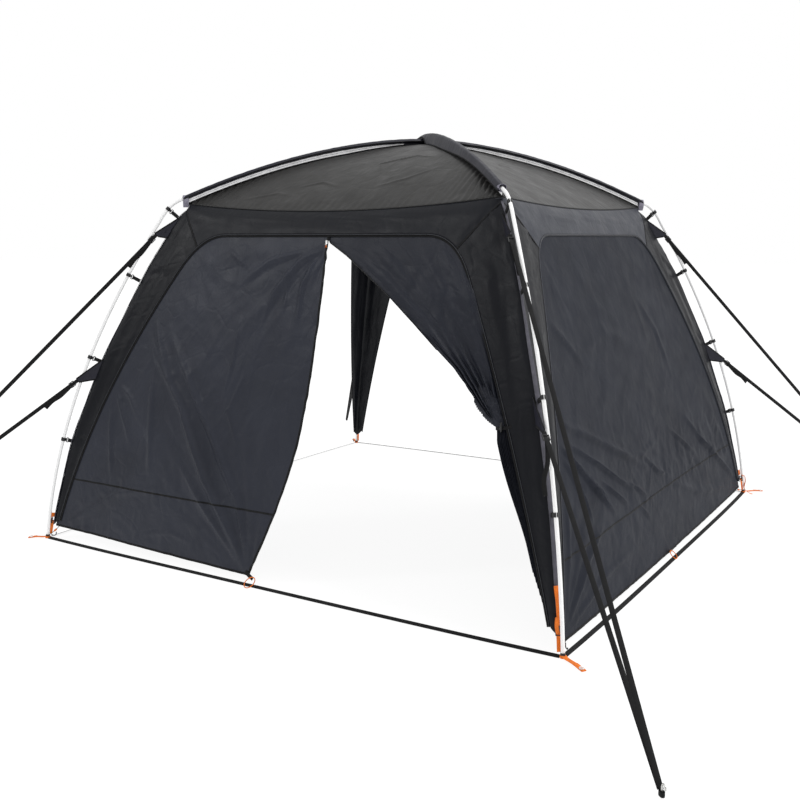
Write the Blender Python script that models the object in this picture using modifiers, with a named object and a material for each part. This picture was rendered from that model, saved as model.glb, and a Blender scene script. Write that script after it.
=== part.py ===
"""Square camp shelter: two crossed arch poles, four bowed legs, a four-panel roof and side cloths."""
import bmesh
import bpy
from math import cos, exp, pi, sin, sqrt
from mathutils import Matrix, Vector

# Frame, in metres: +Z up, origin on the ground at the centre of the footprint, front along -Y
SIDE = 3.0
HALF = SIDE / 2
DIAGONAL = HALF * sqrt(2)
GAP = 0.0003

# Poles
POLE_RADIUS = 0.0085
POLE_ROUNDING = 2
LEG_LEAN = 0.115
LEG_BOW = 0.160
LEG_TOP = 1.70
POLE_FOOT = 0.0075
LEG_STEPS = 9
ELBOW_REACH = 1.412
ELBOW_HEIGHT = 1.795
ELBOW_STEPS = 6
JOINT_REACH = 1.26
ARCH_STEPS = 13

# Arches and sleeves, measured along a diagonal from the centre
APEX_TOP = 2.161
ARCH_DROP = 0.322
ARCH_POWER = 1.82
SLEEVE_END = 1.32
SLEEVE_WALL = 0.003
SLEEVE_HALF_DEPTH = POLE_RADIUS + 2 * GAP + SLEEVE_WALL
SLEEVE_HALF_WIDTH = 0.023
SLEEVE_WIDENING = 0.008
SLEEVE_FACETS = 8
CROSSING_RISE = 2 * SLEEVE_HALF_DEPTH + 2 * GAP
CROSSING_SPREAD = 0.45
VENT_HEIGHT = 0.020
VENT_THICKNESS = 0.003
VENT_START = 0.12
VENT_END = SLEEVE_END - 0.01
VENT_TAPER = 0.45

# Fabric
FABRIC = 0.004
SKIN_FOOT = 2.105
SKIN_LEAN = 0.180
SKIN_BOW = 0.142
SHOULDER = 1.70
SHOULDER_BOW = 5.2
ROOF_TIP = 0.010
STEEP_ROOF = 1.15
STEEP_SLEEVE = 1.08
EAVE_HEIGHT = 1.775
EAVE_HALF = 0.926
EAVE_SAG = 0.030
LAP = 0.020
TOP_LAP = 0.016
LAYER = 0.0058
BAND_RISE = 6 * GAP
BAND_MIDDLE = 0.6
BAND_SHOULDER = 0.2

# Side openings
ARCH_TOP = 1.63
ARCH_FLAT = 0.60
ARCH_SHOULDER = 1.46
LEG_FOOT_WIDTH = 0.030
LEG_WIDENING = 0.144
LEG_HEM = 0.09
SEAM_TOP = 1.738
WALL_HEM = 0.028
ZIP_LINE = 0.085
ZIP_CURL = 0.18
ZIP_CURL_HEIGHT = 0.6
ZIP_CURL_POWER = 1.3
DOOR_HEM_RISE = 0.045

# Door half that is drawn back to the leg
DRAWN_TOP = 1.60
DRAWN_REACH = 1.02
DRAWN_BOW = 0.07
TIE_HEIGHT = 0.84
TIE_OVERLAP = 0.05
BUNDLE_RADIUS = 0.026
BUNDLE_END = 0.12
BUNDLE_STEPS = 9
BUNDLE_NECK = 0.55
BUNDLE_DROP = 1.15
BUNDLE_INSET = 0.008
BUNDLE_DRIFT = 0.012
BUNDLE_SEAT = 1.1

# Columns and rows of facets in each sheet of cloth
ROOF_GRID = (8, 9)
BAND_GRID = (20, 2)
LEG_GRID = (6, 11)
WALL_GRID = (6, 12)
DRAWN_GRID = (6, 10)

# Straps, guy lines and feet
WEBBING = 0.022
WEBBING_THICKNESS = 0.003
GUY_OFFSET = {"along": POLE_RADIUS + 0.004, "across": POLE_RADIUS + 0.002 + WEBBING / 2}
GUY_REACH = 3.10
GUY_FOOT = 0.014
GUY_LOOP_RADIUS = 0.013
GUY_LOOP_HALF = 0.006
UPPER_GUSSET = (1.722, 1.615, 1.484, 1.630)
LOWER_GUSSET = (0.975, 0.865, 1.922, 0.862)
CLIP_HEIGHTS = (1.767, 1.42, 0.985, 0.545)
CLIP_RADIUS = 0.0125
CLIP_LENGTH = 0.020
CLIP_STRAP = 0.016
CLIP_SEAT = 0.010
CAP_RADIUS = 0.0125
CAP_HEIGHT = 0.030
TAB_LENGTH = 0.135
EYELET_INSET = 0.016
EYELET_RADIUS = 0.006
LIFT_START = 0.024
LIFT_TOP = 0.27
LIFT_WIDTH = 0.0176
TAB_HEIGHT = 0.009
STRAP_HEIGHT = 0.0115
PEG_RADIUS = 0.003
PEG_HEIGHT = 0.045
PEG_HOOK = 0.022
TIE_WIDTH = 0.020
TIE_THICKNESS = 0.001
HEM_TIE_FRONT = -0.075

SIDES = (("front", 0), ("right", 90), ("back", 180), ("left", 270))
CORNERS = (("front_right", 0), ("back_right", 90), ("back_left", 180), ("front_left", 270))
RAISED = ("front_right", "back_left")
GUY_SIDE = {"front_right": -1, "back_right": -1, "back_left": -1, "front_left": 1}
GUY_FACING = {"front_right": "across", "back_right": "along", "back_left": "across", "front_left": "along"}
GUY_DRIFT = {"along": 0.0, "across": -0.10}

OUTWARD = Vector((1, -1, 0)).normalized()
ACROSS = Vector((1, 1, 0)).normalized()
UP = Vector((0, 0, 1))


def clear_scene():
    for item in list(bpy.data.objects):
        bpy.data.objects.remove(item, do_unlink=True)


def new_collection(name):
    collection = bpy.data.collections.new(name)
    bpy.context.scene.collection.children.link(collection)
    return collection


def make_material(name, color, roughness, metallic=0.0):
    material = bpy.data.materials.new(name)
    material.use_nodes = True
    shader = material.node_tree.nodes["Principled BSDF"]
    shader.inputs["Base Color"].default_value = (*color, 1)
    shader.inputs["Roughness"].default_value = roughness
    shader.inputs["Metallic"].default_value = metallic
    return material


def place(name, mesh, material, degrees=0, collection=None):
    item = bpy.data.objects.new(name, mesh)
    item.data.materials.clear()
    item.data.materials.append(make_material(name, *material))
    item.rotation_euler = (0, 0, degrees * pi / 180)
    (collection or parts).objects.link(item)
    return item


def add_thickness(item, thickness, side):
    shell = item.modifiers.new("thickness", "SOLIDIFY")
    shell.thickness = thickness
    shell.offset = side
    shell.use_even_offset = True
    return item


def applied_mesh(item):
    bpy.context.view_layer.update()
    graph = bpy.context.evaluated_depsgraph_get()
    return bpy.data.meshes.new_from_object(item.evaluated_get(graph))


def bake(item):
    """Replace an object's mesh by its evaluated one, and drop its modifiers."""
    mesh = applied_mesh(item)
    item.modifiers.clear()
    item.data = mesh
    return item


def grid_mesh(grid, where):
    """A flat grid of (columns, rows) moved to where(u, v), with u and v from 0 to 1."""
    work = bmesh.new()
    bmesh.ops.create_grid(work, x_segments=grid[0], y_segments=grid[1], size=0.5)
    for vertex in work.verts:
        vertex.co = where(vertex.co.x + 0.5, vertex.co.y + 0.5)
    mesh = bpy.data.meshes.new("sheet")
    work.to_mesh(mesh)
    work.free()
    return mesh


def tube_mesh(points, radius, radii=None):
    """A round bar along points, with closed ends."""
    curve = bpy.data.curves.new("bar", "CURVE")
    curve.dimensions = "3D"
    curve.bevel_depth = radius
    curve.bevel_resolution = POLE_ROUNDING
    curve.use_fill_caps = True
    line = curve.splines.new("POLY")
    line.points.add(len(points) - 1)
    for index, point in enumerate(points):
        line.points[index].co = (*point, 1)
        line.points[index].radius = radii[index] if radii else 1
    return curve_mesh(curve)


def curve_mesh(curve):
    guide = bpy.data.objects.new("guide", curve)
    cutters.objects.link(guide)
    mesh = applied_mesh(guide)
    bpy.data.objects.remove(guide, do_unlink=True)
    work = bmesh.new()
    work.from_mesh(mesh)
    bmesh.ops.remove_doubles(work, verts=work.verts, dist=0.00001)
    work.to_mesh(mesh)
    work.free()
    return mesh


def box_mesh(start, end, width_way, width, thickness):
    """A flat strap from start to end, its width along width_way."""
    along = end - start
    length = along.length
    along = along.normalized()
    side = (width_way - along * width_way.dot(along)).normalized()
    work = bmesh.new()
    bmesh.ops.create_cube(work, size=1)
    bmesh.ops.scale(work, vec=(length, width, thickness), verts=work.verts)
    frame = Matrix((along, side, along.cross(side))).transposed().to_4x4()
    frame.translation = (start + end) / 2
    bmesh.ops.transform(work, matrix=frame, verts=work.verts)
    mesh = bpy.data.meshes.new("strap")
    work.to_mesh(mesh)
    work.free()
    return mesh


def cylinder_mesh(start, end, radius, sides=16):
    along = end - start
    work = bmesh.new()
    bmesh.ops.create_cone(work, cap_ends=True, segments=sides, radius1=radius, radius2=radius,
                          depth=along.length)
    frame = along.to_track_quat("Z", "Y").to_matrix().to_4x4()
    frame.translation = (start + end) / 2
    bmesh.ops.transform(work, matrix=frame, verts=work.verts)
    mesh = bpy.data.meshes.new("round")
    work.to_mesh(mesh)
    work.free()
    return mesh


def combine(item, mesh, operation):
    """Join mesh to an unrotated object, or cut it away."""
    tool = bpy.data.objects.new("cutter", mesh)
    cutters.objects.link(tool)
    tool.hide_render = True
    tool.display_type = "WIRE"
    change = item.modifiers.new("change", "BOOLEAN")
    change.operation = operation
    change.solver = "EXACT"
    change.object = tool
    bake(item)
    bpy.data.objects.remove(tool, do_unlink=True)
    return item


def join(item, mesh):
    return combine(item, mesh, "UNION")


def cut(item, mesh):
    return combine(item, mesh, "DIFFERENCE")


# Shapes of the frame and the skin, as functions of height or reach
def sleeve_top(reach):
    return APEX_TOP - ARCH_DROP * (abs(reach) / SLEEVE_END) ** ARCH_POWER


def crossing(reach):
    """How much the upper sleeve rises to pass over the lower one."""
    return CROSSING_RISE * exp(-(reach / CROSSING_SPREAD) ** 2)


def pole_axis(reach, upper):
    return sleeve_top(reach) - SLEEVE_HALF_DEPTH + (crossing(reach) if upper else 0)


def sleeve_half_width(reach):
    """The sleeve widens from its ends towards the crown."""
    return SLEEVE_HALF_WIDTH + SLEEVE_WIDENING * (1 - (reach / SLEEVE_END) ** 2)


def leg_reach(height):
    return DIAGONAL - LEG_LEAN * height - LEG_BOW * height ** 2


def skin_reach(height):
    """Reach of the fabric's corner edge along the diagonal."""
    shoulder = max(0.0, height - SHOULDER)
    return SKIN_FOOT - SKIN_LEAN * height - SKIN_BOW * height ** 2 - SHOULDER_BOW * shoulder ** 2


def skin_half(height):
    return skin_reach(height) / sqrt(2)


def roof_seam(reach):
    """Height of the seam between two roof panels, under the vent strip."""
    vent = VENT_HEIGHT * min(1.0, abs(reach) / VENT_TAPER)
    return sleeve_top(reach) - 2 * SLEEVE_HALF_DEPTH - vent - FABRIC - 3 * GAP


def shoulder_point(t):
    """Point on the rounded top corner of a side opening, from the flat top to the side."""
    side = skin_half(ARCH_TOP) - LEG_FOOT_WIDTH - LEG_WIDENING * ARCH_TOP
    low = skin_half(ARCH_SHOULDER) - LEG_FOOT_WIDTH - LEG_WIDENING * ARCH_SHOULDER
    across = (1 - t) ** 2 * ARCH_FLAT + 2 * t * (1 - t) * side + t * t * low
    return across, ARCH_TOP - (ARCH_TOP - ARCH_SHOULDER) * t * t


def corner_seam(t):
    """Seam between a leg cloth and the eave band, from the opening (t = 0) to the corner (t = 1)."""
    start = shoulder_point(0.5)
    end = (skin_half(SEAM_TOP), SEAM_TOP)
    return start[0] + (end[0] - start[0]) * t, start[1] + (end[1] - start[1]) * t


def opening_half(height):
    """Half width of a side opening at a height."""
    if height <= ARCH_SHOULDER:
        return skin_half(height) - LEG_FOOT_WIDTH - LEG_WIDENING * height
    t = sqrt(max(0.0, ARCH_TOP - height) / (ARCH_TOP - ARCH_SHOULDER))
    return shoulder_point(t)[0]


def diagonal_point(reach, height, offset=0.0):
    return OUTWARD * reach + ACROSS * offset + UP * height


def arch_stations():
    """Reaches at which an arch pole and its sleeve bend, so that both follow the same line."""
    return [JOINT_REACH * i / ARCH_STEPS for i in range(-ARCH_STEPS, ARCH_STEPS + 1)]


def arch_pole(name, upper):
    points = [diagonal_point(r, pole_axis(r, upper)) for r in arch_stations()]
    return place(name, tube_mesh(points, POLE_RADIUS), STEEL, 0 if upper else 90)


def leg_path(upper):
    """Axis of a leg: bowed up to the shoulder, round the elbow and into the sleeve."""
    heights = [POLE_FOOT + (LEG_TOP - POLE_FOOT) * i / LEG_STEPS for i in range(LEG_STEPS + 1)]
    path = [(leg_reach(h), h) for h in heights]
    start = path[-1]
    end_reach = SLEEVE_END + 0.02
    end = (end_reach, pole_axis(end_reach, upper))
    for i in range(1, ELBOW_STEPS + 1):
        t = i / ELBOW_STEPS
        weights = ((1 - t) ** 2, 2 * t * (1 - t), t * t)
        reach = weights[0] * start[0] + weights[1] * ELBOW_REACH + weights[2] * end[0]
        height = weights[0] * start[1] + weights[1] * ELBOW_HEIGHT + weights[2] * end[1]
        path.append((reach, height))
    last = JOINT_REACH + GAP
    for reach in ((end_reach + last) / 2, last):
        path.append((reach, pole_axis(reach, upper)))
    return path


def leg_pole(corner, degrees):
    upper = corner in RAISED
    points = [diagonal_point(r, h) for r, h in leg_path(upper)]
    return place("leg_pole_" + corner, tube_mesh(points, POLE_RADIUS), STEEL, degrees)


def sleeve(name, upper):
    """Flat oval tunnel round an arch pole, open at both ends."""
    stations = [-SLEEVE_END, *arch_stations(), SLEEVE_END]
    steps = len(stations) - 1

    def where(u, v):
        reach = stations[round(u * steps)]
        angle = 2 * pi * v
        step = 0.01
        slope = (pole_axis(reach + step, upper) - pole_axis(reach - step, upper)) / (2 * step)
        normal = (UP - OUTWARD * slope).normalized()
        middle = diagonal_point(reach, pole_axis(reach, upper))
        return (middle + ACROSS * (sleeve_half_width(reach) * cos(angle))
                + normal * (SLEEVE_HALF_DEPTH * sin(angle)))

    item = place(name, grid_mesh((steps, SLEEVE_FACETS), where), SLEEVE, 0 if upper else 90)
    work = bmesh.new()
    work.from_mesh(item.data)
    bmesh.ops.remove_doubles(work, verts=work.verts, dist=0.00001)
    bmesh.ops.recalc_face_normals(work, faces=work.faces)
    work.to_mesh(item.data)
    work.free()
    return add_thickness(item, SLEEVE_WALL, -1)


def vent_strip(corner, degrees):
    """Upright mesh strip between a sleeve and the roof seam below it."""
    upper = corner in RAISED
    stations = [VENT_START, *(r for r in arch_stations() if r > VENT_START), VENT_END]
    steps = len(stations) - 1

    def where(u, v):
        reach = stations[round(u * steps)]
        low = roof_seam(reach) + FABRIC * STEEP_ROOF + GAP
        high = pole_axis(reach, upper) - SLEEVE_HALF_DEPTH * STEEP_SLEEVE - 2 * GAP
        return diagonal_point(reach, low + (high - low) * v)

    item = place("vent_strip_" + corner, grid_mesh((steps, 1), where), MESH_CLOTH, degrees)
    return add_thickness(item, VENT_THICKNESS, 0)


def roof_panel(side, degrees):
    """Triangular panel between two arches, from the eave up to the crown."""
    def where(u, v):
        depth = EAVE_HALF + (ROOF_TIP - EAVE_HALF) * v
        across = (2 * u - 1) * (depth - GAP)
        sag = EAVE_SAG * (1 - (2 * u - 1) ** 2) * (depth / EAVE_HALF) ** 2
        return Vector((across, -depth, roof_seam(depth * sqrt(2)) - sag))

    item = place("roof_panel_" + side, grid_mesh(ROOF_GRID, where), ROOF, degrees)
    return add_thickness(item, FABRIC, 1)


def eave_top(across):
    height = roof_seam(EAVE_HALF * sqrt(2)) - 2 * GAP
    return height - EAVE_SAG * (1 - (across / EAVE_HALF) ** 2)


def eave_band(side, degrees):
    """Upright band under the eave, cut away along the top of the side opening."""
    def low_edge(s):
        """Lower edge from the middle (s = 0) to the corner (s = 1)."""
        if s < BAND_MIDDLE:
            return ARCH_FLAT * s / BAND_MIDDLE, ARCH_TOP
        if s < BAND_MIDDLE + BAND_SHOULDER:
            return shoulder_point((s - BAND_MIDDLE) / BAND_SHOULDER * 0.5)
        share = (s - BAND_MIDDLE - BAND_SHOULDER) / (1 - BAND_MIDDLE - BAND_SHOULDER)
        end = 1 - (FABRIC + 3 * GAP) / (skin_half(SEAM_TOP) - shoulder_point(0.5)[0])
        return corner_seam(share * end)

    def where(u, v):
        s = 2 * u - 1
        low = low_edge(abs(s))
        high_across = (EAVE_HALF - FABRIC - 2 * GAP) * abs(s)
        across = low[0] + (high_across - low[0]) * v
        base = low[1] + BAND_RISE
        high_height = eave_top(high_across)
        height = base + (high_height - base) * v
        depth = skin_half(height) + (EAVE_HALF - skin_half(high_height)) * v ** 2
        across = min(across, depth - FABRIC - 2 * GAP)
        return Vector((across if s > 0 else -across, -depth, height))

    item = place("eave_band_" + side, grid_mesh(BAND_GRID, where), BAND, degrees)
    return add_thickness(item, FABRIC, -1)


def pole_at(height, upper):
    """Point and direction of a leg's axis at a height, on the straight run that holds it."""
    path = leg_path(upper)
    for low, high in zip(path, path[1:]):
        if low[1] <= height <= high[1]:
            t = (height - low[1]) / (high[1] - low[1])
            along = diagonal_point(high[0] - low[0], high[1] - low[1]).normalized()
            return diagonal_point(low[0] + (high[0] - low[0]) * t, height), along


def add_clip(item, height, upper):
    """Hook round the pole, and the strap that ties it to the corner seam."""
    middle, along = pole_at(height, upper)
    half = along * CLIP_LENGTH / 2
    inward = along.cross(ACROSS)
    if inward.dot(OUTWARD) > 0:
        inward = -inward
    inner = middle.copy()
    while inner.dot(OUTWARD) > skin_reach(inner.z) - CLIP_SEAT:
        inner += inward * 0.001
    strap_end = middle + inward * (POLE_RADIUS + CLIP_RADIUS) / 2
    join(item, box_mesh(inner, strap_end, along, CLIP_STRAP, WEBBING_THICKNESS))
    hook = place("hook", cylinder_mesh(middle - half, middle + half, CLIP_RADIUS, 10), HARDWARE, 0, cutters)
    cut(hook, cylinder_mesh(middle - half * 2, middle + half * 2, POLE_RADIUS + 2 * GAP, 12))
    mouth = middle - inward * CLIP_RADIUS
    cut(hook, box_mesh(mouth - half * 3, mouth + half * 3, ACROSS, POLE_RADIUS, CLIP_RADIUS))
    mesh = hook.data
    bpy.data.objects.remove(hook, do_unlink=True)
    join(item, mesh)


def gusset_mesh(gusset, offset):
    """Triangle of webbing cloth that carries a guy line."""
    high, low, tip_reach, tip_height = gusset
    way = guy_way(gusset)
    side = Vector((way.y, 0, -way.x)) * WEBBING / 2
    inset = abs(offset) + FABRIC * 0.8
    outline = [(skin_reach(low) - inset, low), (tip_reach + side.x, tip_height + side.z),
               (tip_reach - side.x, tip_height - side.z), (skin_reach(high) - inset, high)]
    work = bmesh.new()
    corners = [work.verts.new(diagonal_point(r, h, offset - WEBBING_THICKNESS / 2)) for r, h in outline]
    face = work.faces.new(corners)
    lifted = bmesh.ops.extrude_face_region(work, geom=[face])
    moved = [g for g in lifted["geom"] if isinstance(g, bmesh.types.BMVert)]
    bmesh.ops.translate(work, vec=ACROSS * WEBBING_THICKNESS, verts=moved)
    if work.calc_volume(signed=True) < 0:
        bmesh.ops.reverse_faces(work, faces=work.faces)
    mesh = bpy.data.meshes.new("gusset")
    work.to_mesh(mesh)
    work.free()
    return mesh


def guy_offset(corner):
    """Distance of a corner's guy lines from its diagonal plane, clear of the pole."""
    return GUY_OFFSET[GUY_FACING[corner]] * GUY_SIDE[corner]


def peg_drift(corner):
    """Distance of a corner's ground peg from its diagonal plane."""
    return GUY_DRIFT[GUY_FACING[corner]]


def guy_way(gusset):
    """Direction of a guy line in (reach, height), from its gusset to the ground."""
    way = Vector((GUY_REACH - gusset[2], GUY_FOOT - gusset[3]))
    return way.normalized()


def leg_panel(corner, degrees):
    """Corner cloth of two wings, with its pole clips and the gussets of its guy lines."""
    def wing(s, height):
        return skin_half(height) * (1 - s) + opening_half(min(height, corner_seam(0)[1])) * s

    def where(u, v):
        s = abs(2 * u - 1)
        top = corner_seam(1 - s)
        height = LEG_HEM + (top[1] - LEG_HEM) * v
        across = wing(s, height) + (top[0] - wing(s, top[1])) * v ** 4
        if u < 0.5:
            return Vector((across, -skin_half(height), height))
        return Vector((skin_half(height), -across, height))

    item = place("leg_panel_" + corner, grid_mesh(LEG_GRID, where), LEG)
    bake(add_thickness(item, FABRIC, -1))
    for height in CLIP_HEIGHTS:
        add_clip(item, height, corner in RAISED)
    offset = guy_offset(corner)
    for gusset in (UPPER_GUSSET, LOWER_GUSSET):
        join(item, gusset_mesh(gusset, offset))
    item.rotation_euler = (0, 0, degrees * pi / 180)
    return item


def sheet_height(v, low, high):
    """Rows crowd together towards the top, where the outline turns."""
    return low + (high - low) * sin(v * pi / 2)


def side_wall(side, degrees):
    """Cloth that closes a whole side, lapped inside the legs and the band."""
    def where(u, v):
        s = 2 * u - 1
        height = sheet_height(v, WALL_HEM, ARCH_TOP + TOP_LAP)
        half = opening_half(min(height, ARCH_TOP)) + LAP
        return Vector((s * half, -(skin_half(height) - LAYER), height))

    item = place("side_wall_" + side, grid_mesh(WALL_GRID, where), WALL, degrees)
    return add_thickness(item, FABRIC, -1)


def zip_edge(height):
    """Free edge of the hanging door half."""
    return ZIP_LINE - ZIP_CURL * max(0.0, 1 - height / ZIP_CURL_HEIGHT) ** ZIP_CURL_POWER


def door_left():
    """Door half that hangs closed."""
    def where(u, v):
        low = WALL_HEM + DOOR_HEM_RISE * (1 - u)
        height = sheet_height(v, low, ARCH_TOP + TOP_LAP)
        outer = -opening_half(min(height, ARCH_TOP)) - LAP
        across = outer + (zip_edge(height) - outer) * u
        return Vector((across, -(skin_half(height) - LAYER), height))

    item = place("door_left", grid_mesh(WALL_GRID, where), WALL)
    return add_thickness(item, FABRIC, -1)


def drawn_edge(height):
    """Free edge of the drawn-back door half, from the zip's top to the tie."""
    t = (DRAWN_TOP - height) / (DRAWN_TOP - TIE_HEIGHT)
    return ZIP_LINE + 2 * GAP + DRAWN_REACH * t + DRAWN_BOW * sin(pi * t)


def door_right():
    """Door half that is drawn back to the leg and tied there, with its end hanging in folds."""
    def where(u, v):
        height = sheet_height(v, TIE_HEIGHT, ARCH_TOP + TOP_LAP)
        outer = opening_half(min(height, ARCH_TOP)) + LAP
        inner = min(drawn_edge(min(height, DRAWN_TOP)), outer - LAP / 2)
        return Vector((inner + (outer - inner) * u, -(skin_half(height) - LAYER), height))

    item = place("door_right", grid_mesh(DRAWN_GRID, where), WALL)
    bake(add_thickness(item, FABRIC, -1))
    start = TIE_HEIGHT + TIE_OVERLAP
    points = []
    shares = []
    for i in range(BUNDLE_STEPS + 1):
        t = i / BUNDLE_STEPS
        height = start + (BUNDLE_END - start) * t
        share = BUNDLE_NECK + (1 - BUNDLE_NECK) * sin(pi * min(1.0, t * BUNDLE_DROP))
        depth = skin_half(height) - LAYER - BUNDLE_RADIUS * share * BUNDLE_SEAT
        across = opening_half(height) - BUNDLE_INSET + BUNDLE_DRIFT * t
        points.append(Vector((across, -depth, height)))
        shares.append(share)
    return join(item, tube_mesh(points, BUNDLE_RADIUS, shares))


def ground_strap(side, degrees):
    """Taut webbing on edge between two feet, just above the ground."""
    end = HALF - CAP_RADIUS - GAP
    start = Vector((-end, -HALF, STRAP_HEIGHT))
    mesh = box_mesh(start, Vector((end, -HALF, STRAP_HEIGHT)), UP, WEBBING, WEBBING_THICKNESS)
    return place("ground_strap_" + side, mesh, WEBBING_BLACK, degrees)


def foot_anchor(corner, degrees):
    """Foot cap with its peg tab and the strap that pulls the leg cloth down."""
    base = diagonal_point(DIAGONAL, 0)
    cap = cylinder_mesh(base, base + UP * CAP_HEIGHT, CAP_RADIUS, 16)
    item = place("foot_anchor_" + corner, cap, ANCHOR)
    tab_start = diagonal_point(DIAGONAL + CAP_RADIUS * 0.5, TAB_HEIGHT)
    tab_end = diagonal_point(DIAGONAL + TAB_LENGTH, TAB_HEIGHT)
    join(item, box_mesh(tab_start, tab_end, ACROSS, WEBBING, WEBBING_THICKNESS))
    eyelet = tab_end - OUTWARD * EYELET_INSET
    cut(item, cylinder_mesh(eyelet - UP * EYELET_INSET, eyelet + UP * EYELET_INSET, EYELET_RADIUS, 12))

    def strap(u, v):
        height = LIFT_START + (LIFT_TOP - LIFT_START) * v
        seat = skin_reach(height) + WEBBING_THICKNESS / 2 + 4 * GAP
        reach = seat if v > 0 else DIAGONAL - CAP_RADIUS * 0.8
        return diagonal_point(reach, height, (u - 0.5) * LIFT_WIDTH)

    lift = place("lift", grid_mesh((1, 4), strap), ANCHOR, 0, cutters)
    bake(add_thickness(lift, WEBBING_THICKNESS, 0))
    mesh = lift.data
    bpy.data.objects.remove(lift, do_unlink=True)
    join(item, mesh)
    foot, way = pole_at(POLE_FOOT, corner in RAISED)
    seat = foot - way * GAP
    cut(item, cylinder_mesh(seat, seat + way * CAP_HEIGHT * 2, POLE_RADIUS + GAP * 2, 16))
    item.rotation_euler = (0, 0, degrees * pi / 180)
    return item


def guy_lines(corner, degrees):
    """Upper and lower guy webbing, brought together in one loop at the peg."""
    offset = guy_offset(corner)
    foot = diagonal_point(GUY_REACH, GUY_FOOT, peg_drift(corner))
    loop = cylinder_mesh(foot - UP * GUY_LOOP_HALF, foot + UP * GUY_LOOP_HALF, GUY_LOOP_RADIUS)
    item = place("guy_lines_" + corner, loop, WEBBING_BLACK)
    for gusset in (UPPER_GUSSET, LOWER_GUSSET):
        way = guy_way(gusset)
        start = Vector((gusset[2], gusset[3])) + way * 2 * GAP
        top = diagonal_point(start.x, start.y, offset)
        facing = UP if GUY_FACING[corner] == "along" else ACROSS
        join(item, box_mesh(top, foot, facing, WEBBING, WEBBING_THICKNESS))
    cut(item, cylinder_mesh(foot - UP * PEG_HEIGHT, foot + UP * PEG_HEIGHT, PEG_RADIUS + GAP, 12))
    item.rotation_euler = (0, 0, degrees * pi / 180)
    return item


def guy_peg(corner, degrees):
    """Head of the ground peg, bent over the guy loop."""
    points = [(0, 0), (0, PEG_HEIGHT - PEG_HOOK * 0.4), (PEG_HOOK * 0.2, PEG_HEIGHT),
              (PEG_HOOK * 0.65, PEG_HEIGHT + PEG_HOOK * 0.2), (PEG_HOOK, PEG_HEIGHT - PEG_HOOK * 0.3)]
    drift = peg_drift(corner)
    path = [diagonal_point(GUY_REACH + reach, height, drift) for reach, height in points]
    return place("guy_peg_" + corner, tube_mesh(path, PEG_RADIUS), STEEL, degrees)


def hem_tie(side, degrees, across):
    """Short tab that ties a hem down to the ground strap."""
    low = STRAP_HEIGHT + WEBBING / 2 + TIE_THICKNESS
    high = WALL_HEM - GAP * 5

    def where(u, v):
        start = HALF
        end = skin_half(high) - LAYER - FABRIC / 2
        return Vector((across + (u - 0.5) * TIE_WIDTH, -(start + (end - start) * v), low + (high - low) * v))

    item = place("hem_tie_" + side, grid_mesh((1, 1), where), WEBBING_BLACK, degrees)
    return add_thickness(item, TIE_THICKNESS, 0)


# Colour, roughness and metallic value of each kind of piece
STEEL = ((0.75, 0.75, 0.76), 0.3, 0.6)
SLEEVE = ((0.02, 0.02, 0.024), 0.7)
MESH_CLOTH = ((0.6, 0.6, 0.6), 0.8)
ROOF = ((0.045, 0.044, 0.042), 0.55)
BAND = ((0.05, 0.052, 0.06), 0.6)
LEG = ((0.04, 0.042, 0.05), 0.6)
WALL = ((0.035, 0.038, 0.047), 0.55)
HARDWARE = ((0.01, 0.01, 0.01), 0.4)
ANCHOR = ((0.85, 0.2, 0.02), 0.6)
WEBBING_BLACK = ((0.012, 0.012, 0.013), 0.8)

clear_scene()
parts = new_collection("camp_shelter")
cutters = new_collection("cutters")

arch_pole("arch_pole_lower", False)
arch_pole("arch_pole_upper", True)
sleeve("sleeve_lower", False)
sleeve("sleeve_upper", True)
for side_name, angle in SIDES:
    roof_panel(side_name, angle)
    eave_band(side_name, angle)
    ground_strap(side_name, angle)
for corner_name, angle in CORNERS:
    leg_pole(corner_name, angle)
    vent_strip(corner_name, angle)
    leg_panel(corner_name, angle)
    foot_anchor(corner_name, angle)
    guy_lines(corner_name, angle)
    guy_peg(corner_name, angle)
side_wall("right", 90)
door_left()
door_right()
hem_tie("front", 0, HEM_TIE_FRONT)
hem_tie("right", 90, 0)
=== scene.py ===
"""Looks of the camp shelter: folded cloth, webbing, poles and fittings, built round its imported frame."""
from math import cos, pi, radians, sin, sqrt

import bpy
import numpy as np
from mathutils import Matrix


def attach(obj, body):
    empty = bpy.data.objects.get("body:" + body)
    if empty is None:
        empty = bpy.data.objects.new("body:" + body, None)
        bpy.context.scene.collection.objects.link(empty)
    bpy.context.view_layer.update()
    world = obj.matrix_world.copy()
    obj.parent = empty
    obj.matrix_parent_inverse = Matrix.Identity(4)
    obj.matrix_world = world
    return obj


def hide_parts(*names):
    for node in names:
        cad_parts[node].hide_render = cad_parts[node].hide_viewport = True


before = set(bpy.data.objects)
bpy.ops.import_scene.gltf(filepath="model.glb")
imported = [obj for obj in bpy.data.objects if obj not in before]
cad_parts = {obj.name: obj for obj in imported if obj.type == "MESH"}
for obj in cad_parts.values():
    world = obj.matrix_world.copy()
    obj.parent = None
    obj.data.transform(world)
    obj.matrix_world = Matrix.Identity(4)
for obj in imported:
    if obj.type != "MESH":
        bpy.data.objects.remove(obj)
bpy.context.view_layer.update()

# Driving sizes, in metres, as in the part: origin at the centre of the footprint, front along -Y
SIDE = 3.0
HALF = SIDE / 2
DIAGONAL = HALF * sqrt(2)
POLE_RADIUS = 0.0085
POLE_FOOT = 0.0075
LEG_LEAN = 0.115
LEG_BOW = 0.160
LEG_TOP = 1.70
ELBOW_REACH = 1.412
ELBOW_HEIGHT = 1.795
JOINT_REACH = 1.26
APEX_TOP = 2.161
ARCH_DROP = 0.322
ARCH_POWER = 1.82
SLEEVE_END = 1.32
SLEEVE_HALF_DEPTH = 0.0121
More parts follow.
